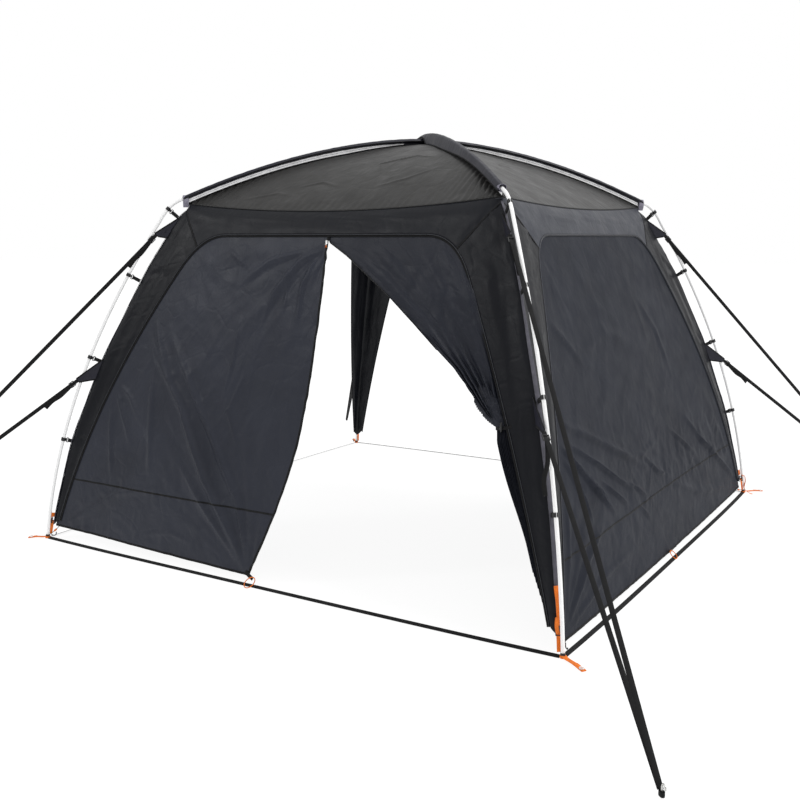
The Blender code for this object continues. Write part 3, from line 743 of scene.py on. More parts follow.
def roof_cloth(side, degrees, seed):
    """A roof triangle from the eave to the crown, gathered along its two seams and creased inside."""
    v, u = shares(*ROOF_GRID.get(side, (70, 90)))
    depth = EAVE_HALF + (ROOF_TIP - EAVE_HALF) * v + 0 * u
    across = u * depth
    sag = EAVE_SAG[side] * (1 - u ** 2) * (depth / EAVE_HALF) ** 2
    points = np.stack((across, -depth, roof_seam(depth * sqrt(2)) - sag), -1)
    reach = (depth + np.abs(across)) / sqrt(2)
    apart = (depth - np.abs(across)) / sqrt(2)
    from_eave = EAVE_HALF - depth
    inside = smooth(apart, 0, 0.12) * smooth(from_eave, 0, 0.08)
    wave = np.sin(2 * pi * np.abs(across) / 0.034 + 2.6 * noise(reach * 7, apart * 6, seed))
    strength = smooth(reach, 0.35, 0.85) * (0.65 + 0.5 * noise(reach * 4 + 9, u * 3, seed + 1))
    tight = 0.0028 + 0.0110 * smooth(reach, 0.85, 1.15)
    fade = np.exp(-apart / (0.045 + 0.040 * smooth(reach, 0.8, 1.1))) * smooth(apart, 0, 0.012)
    lift = tight * wave * strength * fade
    lift += 0.006 * inside * noise(across * 2.2, depth * 2.2, seed + 2)
    lift += creases(across, depth, seed, 0.4, (0.0022 * inside, 5, 5, 3))
    for k, line in enumerate(ROOF_FOLDS[side]):
        lift += ridge(across, -depth, line, 0.0060, 0.0048 if k % 2 == 0 else 0.0036)
    ripple = np.sin(2 * pi * across / 0.045 + 3 * noise(across * 5, depth * 3, seed + 5))
    lift += 0.0012 * ripple * np.exp(-from_eave / 0.05) * smooth(from_eave, 0, 0.02)
    uv = np.stack((across, depth * 1.08), -1)
    item = cloth("roof_cloth_" + side, points, lift, ROOF, "roof_panel_" + side, degrees, uv)[0]


def band_low_edge(s):
    """Lower edge of an eave band, from the middle (s = 0) to the corner (s = 1)."""
    bend = shoulder_point(np.clip((s - 0.6) / 0.2, 0, 1) * SEAM_START)
    seam = corner_seam(np.clip((s - 0.8) / 0.2, 0, 1))
    across = np.where(s < 0.6, ARCH_FLAT * s / 0.6, np.where(s < 0.8, bend[0], seam[0]))
    height = np.where(s < 0.6, ARCH_TOP, np.where(s < 0.8, bend[1], seam[1]))
    return across, height


def band_cloth(side, degrees, seed):
    """The band between a side's eave and its opening, down to the corner seams."""
    v, s = shares(16, 161)
    low_across, low_height = band_low_edge(np.abs(s))
    high_across = EAVE_HALF * np.abs(s)
    high_height = eave_top(side, high_across)
    across = low_across + (high_across - low_across) * v
    height = low_height + (high_height - low_height) * v
    depth = skin_half(height) + (EAVE_HALF - skin_half(high_height)) * v ** 2
    depth = depth - side_bow(side, across, height)
    across = np.minimum(across, depth) * np.sign(s)
    points = np.stack((across, -depth, height), -1)
    inside = smooth(v, 0, 0.3) * smooth(1 - v, 0, 0.3) + 0 * across
    ends = smooth(np.abs(across), 0.55, 0.85)
    lift = 0.004 * inside * noise(across * 3, height * 9, seed)
    lift += creases(across, height, seed, 0.4, (0.0030 * inside * ends, 7, 11, 1),
                    (0.0016 * inside, 2.5, 14, 2))
    for start in (-0.35, 0.1, 0.42):
        line = ((start - 0.22, 1.722), (start, 1.705), (start + 0.20, 1.690))
        lift += ridge(across, height, line, 0.007, 0.003) * inside
    # The right side's band takes the lighter copy of the band cloth: painted light
    material = LIT_BAND if side == "right" else BAND
    item = cloth("band_cloth_" + side, points, lift, material, "eave_band_" + side, degrees)[0]


def rounded_corner(side, next_side, across, height):
    """Points on the two walls that meet at a corner; across is the signed distance from the corner edge."""
    root = np.sqrt(across ** 2 + EDGE_ROUNDING ** 2)
    first = (root - across) / 2
    second = (root + across) / 2
    half = skin_half(height)
    x = half - first
    y = half - second
    bow_first = side_bow(side, x, height) * smooth(first, 0, 0.08)
    bow_second = side_bow(next_side, y, height) * smooth(second, 0, 0.08)
    return np.stack((x - bow_second, bow_first - y, height), -1)


def scallop(height):
    """The corner edge is drawn out at each clip and slackens between them."""
    clips = sorted((LEG_HEM, *CLIP_HEIGHTS[1:], SEAM_TOP))
    slack = np.zeros_like(height)
    for low, high in zip(clips, clips[1:]):
        share = np.clip((height - low) / (high - low), 0, 1)
        slack = np.maximum(slack, np.sin(pi * share) ** 2 * (high - low))
    return slack


def leg_cloth(corner, degrees, seed):
    """The cloth of a corner, with a wing on each side of the pole, drawn out at the clips."""
    v, u = shares(120, 49)
    u = np.sign(u) * np.abs(u) ** 1.25
    s = np.abs(u)
    seam_across, seam_height = corner_seam(1 - s)
    seam_foot = corner_seam(0)[1]
    hem = LEG_HEM - 0.014 + 0.036 * s ** 1.5
    height = hem + (seam_height - hem) * v

    def wing(z):
        return skin_half(z) * (1 - s) + opening_half(np.minimum(z, seam_foot)) * s

    across = wing(height) + (seam_across - wing(seam_height)) * v ** 4
    from_corner = (skin_half(height) - across) * np.sign(u)
    points = rounded_corner(*CORNER_SIDES[corner], from_corner, height)
    edge = smooth(1 - s, 0, 0.25)
    shoulder = smooth(height, 1.25, 1.5)
    low = smooth(0.5 - height, 0, 0.4)
    lift = -0.012 * scallop(height) * np.exp(-np.abs(from_corner) / 0.05)
    lift += 0.009 * edge * noise(from_corner * 12, height + 4, seed) * smooth(1.60 - height, 0, 0.3)
    lift += edge * creases(from_corner, height, seed, 0.4, (0.003, 9, 2.4, 1), (0.005 * shoulder, 6, 6, 2))
    for clip in CLIP_HEIGHTS[1:]:
        for heading in (25, 155):
            pulled = fan(np.abs(from_corner), height, (0, clip), heading, 30, 3, 0.30, 0.006, seed + 4)
            lift += pulled * edge
    lift += 0.006 * low * edge * noise(from_corner * 26, height * 2, seed + 6)
    uv = np.stack((from_corner, height), -1)
    item, folded = cloth("leg_cloth_" + corner, points, lift, LEG, "leg_panel_" + corner, degrees, uv)
    return item, points, folded


WALL_FOLDS = (
    (((-1.277, 0.856), (-1.120, 0.728), (-0.816, 0.465)), 0.012, 0.012),
    (((-1.084, 0.763), (-0.730, 0.585), (-0.378, 0.398)), 0.012, 0.011),
    (((-1.044, 0.687), (-0.900, 0.560), (-0.744, 0.449)), 0.011, 0.010),
    (((-0.965, 0.584), (-0.830, 0.480), (-0.703, 0.373)), 0.011, 0.009),
    (((-0.819, 0.554), (-0.660, 0.460), (-0.516, 0.376)), 0.011, 0.009),
    (((-0.565, 0.503), (-0.400, 0.440), (-0.227, 0.348)), 0.010, 0.007),
    (((-0.376, 0.341), (-0.310, 0.290), (-0.237, 0.237)), 0.009, 0.006),
    (((-1.22, 0.88), (-0.86, 0.76), (-0.45, 0.60), (-0.15, 0.48)), 0.020, 0.010),
    (((-1.20, 0.76), (-1.06, 0.58), (-0.98, 0.40)), 0.014, 0.009),
    (((-0.95, 1.27), (-0.80, 1.17), (-0.66, 1.05)), 0.022, 0.006),
    (((-0.55, 0.62), (-0.20, 0.55), (0.10, 0.58)), 0.016, 0.006),
    (((0.30, 0.60), (0.52, 0.48), (0.66, 0.40)), 0.012, 0.008),
    (((0.60, 0.62), (0.82, 0.44), (1.04, 0.34)), 0.014, 0.008),
    (((0.74, 0.50), (1.10, 0.28), (1.44, 0.09)), 0.018, 0.009),
    (((0.20, 0.33), (0.60, 0.20), (1.20, 0.10)), 0.020, 0.006),
    (((-0.20, 0.56), (-0.02, 0.44), (0.16, 0.38)), 0.011, 0.007),
    (((-1.40, 0.10), (-1.28, 0.34), (-1.20, 0.60)), 0.018, 0.009),
    (((-1.38, 0.09), (-1.10, 0.28), (-0.88, 0.36)), 0.018, 0.009),
    (((-1.36, 0.07), (-0.95, 0.16), (-0.55, 0.17)), 0.018, 0.007),
    (((-0.60, 1.10), (-0.30, 1.16), (0.05, 1.08)), 0.030, 0.005),
    (((0.30, 1.30), (0.48, 1.10), (0.55, 0.86)), 0.030, 0.005),
)
WALL_FANS = (
    ((-1.46, 0.05), 48, 46, 9, 1.3, 0.006, 3),
    ((1.46, 0.05), 132, 46, 9, 1.3, 0.006, 3),
    ((-0.78, 1.60), -70, 40, 7, 0.7, 0.003, 4),
    ((0.78, 1.60), -110, 40, 7, 0.7, 0.003, 4),
)


def seam_puckers(across, height, seed):
    """Short uneven puckers each side of the seam that runs across a wall."""
    near = np.exp(-np.abs(height - WALL_SEAM) / 0.030)
    patchy = smooth(noise(across * 2.3, 0 * height, seed + 1), -0.1, 0.5)
    return 0.006 * near * patchy * noise(across * 26, height * 7, seed)


def level_line(base, folded, height):
    """Where an unfolded grid is at a height: the line on its folded form, and the way out of it."""
    columns = np.arange(base.shape[1])
    place = np.array([np.interp(height, base[:, k, 2], np.arange(len(base))) for k in columns])
    low = place.astype(int)
    share = (place - low)[:, None]
    line = folded[low, columns] * (1 - share) + folded[low + 1, columns] * share
    return line, normals(folded)[low, columns]


def tape_on(name, degrees, line, faces, size, off=0.0):
    """Black tape that lies on a sheet along a line."""
    body = sweep(line + faces * off, flat_profile(*size), faces)
    return add(name, [body], BLACK_WEBBING, degrees)


def wall_cloth(side, degrees, seed):
    """A closed side wall, pulled to its lower corners, with the folds that the tension makes."""
    v, s = shares(160, 200)
    s = s - 0.15 * (1 - s ** 2)
    low = WALL_HEM + WALL_HEM_RISE * s ** 2
    high = ARCH_TOP + LAP * 0.8
    height = low + (high - low) * rows_of_wall(v)
    half = opening_half(np.minimum(height, ARCH_TOP)) + LAP
    across = s * half
    points = wall_point(side, across, height, LAYER)
    held = smooth(half - np.abs(across), 0.03, 0.16) * smooth(high - height, 0.03, 0.14)
    free = held * (0.35 + 0.65 * smooth(height, 0.05, 0.22))
    slack = 0.25 + 0.75 * smooth(1.05 - height, 0, 0.5)
    crushed = smooth(height, 0.24, 0.34) * smooth(0.72 - height, 0, 0.25) * smooth(across, -0.7, -0.2)
    lift = 0.010 * free * noise(across * 1.1, height * 1.3, seed)
    lift += creases(across, height, seed, 0.45, (0.006 * free, 1.4, 1.6, 1),
                    (0.0040 * held * slack, 5, 5, 2), (0.0012 * held * slack ** 2, 17, 13, 9),
                    (0.008 * held * crushed, 7, 5, 7))
    lift += held * fans_and_folds(across, height, seed, WALL_FANS, WALL_FOLDS, 0.8, 1.6)
    lift += held * seam_puckers(across, height, seed + 6)
    item, folded = cloth("wall_cloth_" + side, points, lift, SHADED_WALL, "side_wall_" + side, degrees)
    return item, points, folded


DOOR_FOLDS = (
    (((0.05, 1.57), (-0.08, 1.49), (-0.17, 1.38), (-0.21, 1.28)), 0.020, 0.015),
    (((0.02, 1.53), (-0.03, 1.38), (-0.02, 1.22)), 0.016, 0.010),
    (((-0.02, 1.56), (-0.26, 1.50), (-0.42, 1.38)), 0.018, 0.010),
    (((-0.14, 1.49), (-0.12, 1.38), (-0.11, 1.27)), 0.008, 0.005),
    (((-0.37, 1.24), (-0.36, 1.01), (-0.39, 0.82)), 0.010, 0.006),
    (((-0.28, 0.96), (-0.33, 0.80), (-0.40, 0.70)), 0.012, 0.006),
    (((-0.97, 1.12), (-0.80, 0.94), (-0.64, 0.78), (-0.42, 0.44), (-0.12, 0.07)), 0.026, 0.020),
    (((-0.82, 1.14), (-0.60, 0.88), (-0.42, 0.66), (-0.22, 0.37), (-0.10, 0.07)), 0.022, 0.016),
    (((-0.62, 0.52), (-0.40, 0.30), (-0.14, 0.06)), 0.016, 0.009),
    (((-1.15, 0.87), (-1.06, 0.72), (-0.96, 0.56)), 0.014, 0.009),
    (((-1.16, 0.86), (-1.12, 0.62), (-1.07, 0.36)), 0.014, 0.008),
    (((-1.16, 0.88), (-1.02, 0.80), (-0.90, 0.66)), 0.014, 0.007),
    (((-0.96, 1.23), (-0.86, 1.06), (-0.74, 0.90)), 0.018, 0.011),
    (((-0.88, 0.94), (-0.84, 0.70), (-0.80, 0.44)), 0.022, 0.009),
    (((-0.37, 0.82), (-0.31, 0.72), (-0.26, 0.62)), 0.009, 0.006),
    (((-1.30, 0.12), (-1.02, 0.30), (-0.74, 0.36)), 0.022, 0.008),
    (((-0.55, 1.56), (-0.46, 1.50), (-0.34, 1.45)), 0.009, 0.006),
    (((-0.80, 0.12), (-0.62, 0.16), (-0.48, 0.13)), 0.011, 0.006),
)
DOOR_FANS = (
    ((0.10, 1.62), -132, 48, 8, 0.75, 0.011, 3),
    ((-0.09, 0.0), 118, 46, 9, 1.2, 0.009, 4),
    ((-1.45, 0.06), 45, 42, 8, 0.9, 0.007, 5),
    ((-0.80, 1.58), -75, 50, 8, 0.5, 0.003, 6),
)


def door_left_cloth(seed):
    """The closed half, which hangs from the arch with its free edge at the zip."""
    v, u = shares(160, 150, 0)
    low = DOOR_HEM + DOOR_HEM_RISE * (1 - u)
    high = ARCH_TOP + LAP * 0.8
    height = low + (high - low) * rows_of_wall(v)
    outer = -opening_half(np.minimum(height, ARCH_TOP)) - LAP
    across = outer + (door_edge(height) - outer) * u
    points = wall_point("front", across, height, LAYER)
    from_zip = door_edge(height) - across
    held = smooth(across - outer, 0.03, 0.16) * smooth(high - height, 0.03, 0.12)
    lift = 0.014 * noise(across * 1.2, height * 0.9, seed)
    lift += creases(across, height, seed, 0.45, (0.008, 1.6, 1.2, 1), (0.0050, 5.5, 4.2, 2),
                    (0.0012, 17, 13, 9))
    lift += fans_and_folds(across, height, seed, DOOR_FANS, DOOR_FOLDS, 0.72, 1.35)
    lift = held * (lift + seam_puckers(across, height, seed + 8))
    edge = np.exp(-from_zip / 0.035) * smooth(height, 0.15, 0.4) * smooth(1.5 - height, 0, 0.3)
    lift += 0.0035 * edge * noise(across * 3, height * 16, seed + 7)
    lift -= 0.012 * np.exp(-from_zip / 0.30) * smooth(1.3 - height, 0, 0.7) * smooth(height, 0.0, 0.7)
    item, folded = cloth("door_cloth_left", points, lift, WALL, "door_left")
    return item, points, folded


# Free edge of the drawn-back half as (across, height), from the arch by the zip's top to the tie
DRAWN_EDGE = ((0.055, 1.642), ZIP_TOP, (0.175, 1.535), (0.266, 1.479), (0.358, 1.420), (0.452, 1.360),
              (0.633, 1.230), (0.783, 1.118), (0.856, 1.066), (0.930, 1.003), (1.002, 0.936), (1.073, 0.870),
              (1.101, TIE_HEIGHT))


def arch_line(t):
    """Outer edge of a door half, from the zip's top along the arch and down the leg to the tie."""
    stations = [DRAWN_EDGE[0], (ARCH_FLAT, ARCH_TOP + 0.012)]
    for bend in np.linspace(0.1, 1, 10):
        across, height = shoulder_point(bend)
        stations.append((across + 0.012, height + 0.008))
    for height in np.linspace(ARCH_SHOULDER - 0.05, TIE_HEIGHT + 0.04, 9):
        stations.append((float(opening_half(height)) + 0.016, height))
    return point_along(stations, t)


def drawn_outline(inside, b, drop):
    """Across and height of the drawn-back half: ruled from the arch to the tie, and the tail below it."""
    start_across, start_height = arch_line(inside)
    (top_across, top_height), (tie_across, tie_height) = DRAWN_EDGE[0], DRAWN_EDGE[-1]
    end_across = tie_across + inside * (opening_half(TIE_HEIGHT) + 0.004 - tie_across)
    end_height = tie_height + 0.02 * inside
    free_across, free_height = point_along(DRAWN_EDGE, b)
    pull = (1 - inside) ** 2.2
    across = start_across + (end_across - start_across) * b
    across = across + (free_across - top_across - (tie_across - top_across) * b) * pull
    height = start_height + (end_height - start_height) * b
    height = height + (free_height - top_height - (tie_height - top_height) * b) * pull
    tail_end = TAIL_LOW + TAIL_SHORT * (1 - inside) ** 1.6
    tail_height = end_height + (tail_end - end_height) * drop
    width = (0.060 + 0.02 * np.exp(-drop / 0.12)) * (1 - 0.35 * drop)
    width = width + 0.034 * np.sin(pi * np.minimum(1, drop / 0.8)) * (1 - drop)
    hanging = opening_half(tail_height) + 0.006 - (1 - inside) * width
    straight = end_across + opening_half(tail_height) - opening_half(end_height)
    tail_across = straight + (hanging - straight) * smooth(drop, 0, 0.12)
    return np.concatenate((across, tail_across)), np.concatenate((height, tail_height))


def door_right_cloth(seed):
    """The drawn-back half: a pleated fan from the arch to the tie, a turned-back edge and a hanging tail."""
    b, a = shares(75, 200, -0.22)
    drop = np.linspace(0, 1, 46)[1:, None]
    turned_share = np.sqrt(a ** 2 + FOLD_BACK ** 2)
    inside = np.clip(turned_share - FOLD_BACK * 0.7, 0, 1)
    behind = (1 - a / turned_share) / 2
    across, height = drawn_outline(inside, b, drop)

    def rows(upper, lower):
        return np.concatenate((upper, lower)) + 0 * a

    fall = rows(b * 0.5, 0.5 + 0.5 * drop)
    near_tie = rows(b ** 4.2, 1 + 0 * drop)
    taper = rows(1 + 0 * b, 1 - 0.35 * drop)
    early = rows(smooth(b, 0.02, 0.25), 1 + 0 * drop)
    bunch = rows(smooth(b, 0.70, 0.86) * smooth(1 - b, 0, 0.07), 0 * drop) * (1 - inside) ** 1.5
    wander = noise(inside * 4 + 0 * fall, fall * 4, seed)
    pleat = np.sin(2 * pi * (PLEATS * inside ** 0.85 + 0.7 * wander * (1 - near_tie * 0.5)))
    depth = PLEAT_DEPTH * near_tie * (0.75 + 0.25 * noise(inside * 9 + 3, fall * 3, seed + 1))
    lift = (1 + pleat) * depth * taper * smooth(inside, 0, 0.05) + 0.004 * near_tie + 0.012 * behind
    lift = lift - 0.034 * bunch + creases(across, height, seed, 0.5, (0.022 * bunch, 13, 13, 8))
    held = smooth(inside, 0.0, 0.10) * smooth(1 - inside, 0.0, 0.12) * early * (1 - near_tie)
    lift += held * (0.012 * noise(inside * 5, fall * 3, seed + 2)
                    + 0.010 * noise(inside * 13, fall * 2.5, seed + 3)
                    + creases(across, height, seed, 0.5, (0.006, 4, 4, 4), (0.003, 10, 10, 5)))
    rim = np.exp(-inside / 0.06) * early * smooth(fall, 0.12, 0.3) * (1 - bunch)
    lift += 0.009 * rim * noise(inside * 3, fall * 44, seed + 6)
    lift = lift * (a / turned_share)
    points = wall_point("front", across, height, LAYER)
    uv = np.stack((a * 1.3 + 0 * fall, fall * 1.6), -1)
    return cloth("door_cloth_right", points, lift, DRAWN, "door_right", 0, uv, FOLDED_CLOTH)


def gathered_bundle(seed):
    """The bulge of bunched cloth above the tie, rolled inside the free edge."""
    t = np.linspace(0, 1, 70)[:, None]
    around = np.linspace(0, 2 * pi, 64, endpoint=False)[None]
    across = 0.988 + 0.140 * t
    height = 0.990 - 0.152 * t
    swell = np.sin(pi * np.clip(0.06 + 0.90 * t, 0, 1)) ** 0.5
    half_width = (0.056 - 0.022 * t) * swell
    crush = 1 + 0.34 * (crumple(np.cos(around) * 1.6 + 3, t * 3.2 + np.sin(around) * 1.6, seed) - 0.45)
    side = half_width * np.cos(around) * crush
    out = 0.026 * swell * np.sin(around) * crush
    slope = unit(np.array((0.195, 0.150)))
    points = wall_point("front", across + side * slope[0], height + side * slope[1], 0.016)
    points = points + outward_normal(height) * out[..., None]
    uv = np.stack(np.broadcast_arrays(t * 0.25, np.linspace(0, 0.25, 65)), -1)
    return add("door_bundle", [grid_body(points, uv, wrap=True, caps=True)], DRAWN)


# Sleeves, vents, seams and trims
def sleeve_section(reach, around, upper, seed):
    """Point of a pole sleeve: a tunnel over the pole with a flat flange each side."""
    flap = smooth(reach, 0.0, 0.14) * (1 - 0.5 * smooth(reach, 0.40, 1.05)) if upper else 0 * reach
    width = SLEEVE_HALF_WIDTH + SLEEVE_WIDENING * (1 - (reach / SLEEVE_END) ** 2) + SLEEVE_FLAP * flap
    angle = 2 * pi * around
    side = width * np.cos(angle)
    bulge = 0.0022 + (SLEEVE_HALF_DEPTH - 0.0022) * np.exp(-(side / 0.017) ** 4)
    rise = bulge * np.sign(np.sin(angle)) * np.minimum(1, np.abs(np.sin(angle)) * 2.5) ** 0.6
    droop = (0.22 + 2.6 * flap) * np.maximum(0, np.abs(side) - 0.0120)
    rise = rise - droop + 0.0011 * noise(reach * 30, side * 70 + np.sign(np.sin(angle)) * 5, seed)
    step = 0.01
    slope = (pole_axis(reach + step, upper) - pole_axis(reach - step, upper)) / (2 * step)
    length = np.sqrt(1 + slope ** 2)
    middle = diagonal_point(reach - rise * slope / length, pole_axis(reach, upper) + rise / length)
    return middle + side[..., None] * ACROSS


def pole_sleeve(level, degrees, seed):
    """The sleeve of an arch pole, with piping on its flanges and a bound collar at each end."""
    upper = level == "upper"
    ends = SLEEVE_REACH[level]
    reach, around = np.broadcast_arrays(np.linspace(*ends, 200)[:, None], np.arange(36) / 36)
    points = sleeve_section(reach, around, upper, seed)
    uv = np.stack(np.broadcast_arrays(reach[:, :1], np.linspace(0, 0.12, 37)), -1)
    item = add("sleeve_cloth_" + level, [grid_body(points, uv, wrap=True)], SLEEVE, degrees,
               "sleeve_" + level, thickness=CLOTH, offset=-1)
    line = np.linspace(*ends, 160)
    edges = [sleeve_section(line, np.full_like(line, share), upper, seed) for share in (0.0, 0.5)]
    piping = add("sleeve_piping_" + level, [tube(edge, SEAM_CORD, sides=8) for edge in edges], BLACK_WEBBING,
                 degrees)
    angles = np.linspace(0, 2 * pi, 40, endpoint=False)
    side = np.cos(angles) * (0.0165 + 0.005 * np.sin(angles))
    collars = []
    for end, tip in zip((-1, 1), ends):
        reach = tip - end * 0.013
        high = sleeve_top(reach) + (crossing(reach) if upper else 0) + 0.0012
        low = high - 0.032 if upper and end > 0 else roof_seam(reach) - 0.012
        collar = diagonal_point(reach, (high + low) / 2 + np.sin(angles) * (high - low) / 2, side)
        collars.append(sweep(collar, flat_profile(0.0016, 0.030), OUTWARD, closed=True))
    binding = add("sleeve_collars_" + level, collars, BINDING, degrees)
    points_of_sleeve(upper)


def points_of_sleeve(upper):
    """Flat strip as long as a sleeve's line and as wide as its section is round."""
    reach = np.linspace(-SLEEVE_END, SLEEVE_END, 60)[:, None]
    return diagonal_point(reach, pole_axis(reach, upper), np.linspace(-0.058, 0.058, 3))


def vent_net(corner, degrees, seed):
    """Net between roof and sleeve, with its seams, and the solid patch that closes it at the crown."""
    upper = corner in RAISED
    v = np.linspace(0, 1, 6)[:, None]
    reach = np.linspace(VENT_START, SLEEVE_END - 0.012, 110)[None] + 0 * v
    low = roof_seam(reach) + 0.0035
    high = pole_axis(reach, upper) - SLEEVE_HALF_DEPTH * 0.75
    height = low + (high - low) * v
    points = diagonal_point(reach, height)
    lift = 0.0022 * np.sin(pi * v) * noise(reach * 14, v * 2, seed)
    uv = np.stack((reach, height), -1)
    item = cloth("vent_net_" + corner, points, lift, NET, "vent_strip_" + corner, degrees, uv, 0.0022)[0]
    start = np.linspace(0.002, VENT_START + 0.006, 14)[None] + 0 * v
    low_start = roof_seam(start) - 0.003
    high_start = pole_axis(start, upper) - SLEEVE_HALF_DEPTH * 0.5
    closed = diagonal_point(start, low_start + (high_start - low_start) * v)
    patch = add("vent_patch_" + corner, [grid_body(closed, closed[..., (0, 2)])], SLEEVE, degrees,
                thickness=0.004)
    seams = []
    for side in (-1, 1):
        seams.append(tube(diagonal_point(reach[0], low[0] - 0.0006, side * 0.0028), 0.0026, sides=8))
        seams.append(tube(diagonal_point(reach[0], (low[0] + high[0]) / 2, side * 0.0016), 0.0007, sides=6))
    piping = add("roof_seam_" + corner, seams, BLACK_WEBBING, degrees)


def opening_line():
    """Edge of a side opening as (across, height), from the left foot over the arch to the right foot."""
    half = [(-float(leg_edge(height)), height) for height in np.linspace(LEG_HEM + 0.014, ARCH_SHOULDER, 70)]
    half += [(-across, height) for across, height in map(shoulder_point, np.linspace(1, 0, 22)[1:])]
    top = [(across, ARCH_TOP) for across in np.linspace(-ARCH_FLAT, ARCH_FLAT, 42)[1:-1]]
    line = half + top + [(-across, height) for across, height in half[::-1]]
    return np.stack(point_along(line, np.linspace(0, 1, 170)), -1)


def outward_normal(height):
    """Direction out of a side's wall at a height."""
    step = 0.01
    slope = (skin_half(height + step) - skin_half(height - step)) / (2 * step)
    return unit(np.stack((0 * height, -1 + 0 * height, -slope), -1))


def opening_trims(side, degrees):
    """Piping on the edge of the opening, and just inside it the zip tape with its coil."""
    line = opening_line()
    way = unit(np.gradient(line, axis=0))
    inward = np.stack((way[:, 1], -way[:, 0]), -1)
    faces = outward_normal(line[:, 1])
    width = TAPE[side]
    closed = side == "right"

    def beside(share, inset):
        place = line + inward * width * share
        return wall_point(side, place[:, 0], place[:, 1], inset)

    piping = tube(beside(0.0, -0.0012), PIPING, sides=8)
    add("arch_piping_" + side, [piping], SIDE_TRIM if closed else PALE_TRIM, degrees)
    bodies = [sweep(beside(0.36, 0.0026), flat_profile(width, TAPE_THICKNESS), faces),
              sweep(beside(0.52, 0.0016), flat_profile(*ZIP_COIL), faces)]
    add("zip_tape_" + side, bodies, PALE_TRIM if closed else BLACK_WEBBING, degrees)


def eave_seam(side, degrees):
    """Seam and hem along an eave, and the seams from its ends down to the opening's shoulders."""
    across = np.linspace(-EAVE_HALF, EAVE_HALF, 120)
    line = np.stack((across, np.full_like(across, -EAVE_HALF - 0.0012), eave_top(side, across) - 0.001), -1)
    add("eave_seam_" + side, [tube(line, SEAM_CORD, sides=8)], BLACK_WEBBING, degrees)
    add("eave_hem_" + side, [tube(line - (0, 0.0010, 0.0056), 0.0022, sides=8)], PALE_TRIM, degrees)
    across, height = corner_seam(np.linspace(0, 0.985, 24))
    seams = []
    for way in (-1, 1):
        line = wall_point(side, way * across, height, -0.0010)
        seams.append(sweep(line, flat_profile(0.009, 0.0014), outward_normal(height)))
    add("corner_seams_" + side, seams, BLACK_WEBBING, degrees)


def corner_binding(corner, degrees, folded):
    """Flat grey binding that lies on the corner edge."""
    line = folded[:, folded.shape[1] // 2] + OUTWARD * 0.0030
    scale = 0.55 + 0.45 * smooth(1.45 - line[:, 2], 0, 0.5)
    strip = sweep(line, flat_profile(*EDGE_BINDING), OUTWARD, scale)
    return add("corner_binding_" + corner, [strip], EDGE_TRIM, degrees)


# Poles and fittings
def leg_pole(corner, degrees):
    """A leg from its foot cap to the joint in the sleeve."""
    upper = corner in RAISED
    path = leg_path(upper)
    pole = sweep(diagonal_point(path[:, 0], path[:, 1]), round_profile(POLE_RADIUS, 20), ACROSS)
    add("pole_leg_" + corner, [pole], PAINT, degrees, "leg_pole_" + corner)
    foot, way = pole_at(POLE_FOOT + 0.001, upper)
    heights = np.array((-0.0072, -0.0066, 0.004, 0.0125, 0.0130))[:, None]
    cap = sweep(foot + heights * way, round_profile(CAP_RADIUS, 20), ACROSS, (0.80, 1.0, 1.0, 0.96, 0.90))
    add("pole_tip_" + corner, [cap], PLASTIC, degrees, sharp=SHARP_ANGLE)


def pole_clips(corner, degrees):
    """Plastic hooks round the pole, each on a short strap sewn to the corner edge."""
    hooks = []
    straps = []
    for height in CLIP_HEIGHTS:
        middle, along = pole_at(height, corner in RAISED)
        inward = np.cross(along, ACROSS)
        inward = -inward if inward @ OUTWARD > 0 else inward
        axes = np.array((ACROSS, inward, along))
        bend = circle(np.radians(np.linspace(-168, 168, 26))) @ axes[[1, 0]] * CLIP_RADIUS
        hooks.append(sweep(middle + bend, flat_profile(0.0030, CLIP_WIDTH), along))
        hooks.append(block(middle + inward * 0.0165, axes, (0.0165, 0.0085, 0.0150)))
        bar = middle + inward * 0.0255
        hooks.append(block(bar, axes, (0.0060, 0.0050, 0.0260)))
        end = middle.copy()
        while end @ OUTWARD > skin_half(end[2]) * sqrt(2) - 0.004:
            end = end + inward * 0.001
        for way in (-1, 1):
            arm = middle + inward * 0.0210 + along * way * 0.0115
            hooks.append(block(arm, axes, (0.0050, 0.0120, 0.0035)))
            line = curve((bar - inward * 0.0012 + ACROSS * way * 0.0042,
                          bar + inward * 0.006 + ACROSS * way * 0.0028,
                          end + ACROSS * way * 0.0014), 12)
            straps.append(strap(line, along, CLIP_WIDTH, 0.0020))
    add("pole_clips_" + corner, hooks, PLASTIC, degrees, sharp=SHARP_ANGLE)
    return add("clip_straps_" + corner, straps, BLACK_WEBBING, degrees)


def guy_offset(corner):
    """How far a corner's gussets and guy lines lie beside its pole."""
    return GUY_OFFSET[GUY_FACING[corner]] * GUY_SIDE[corner]


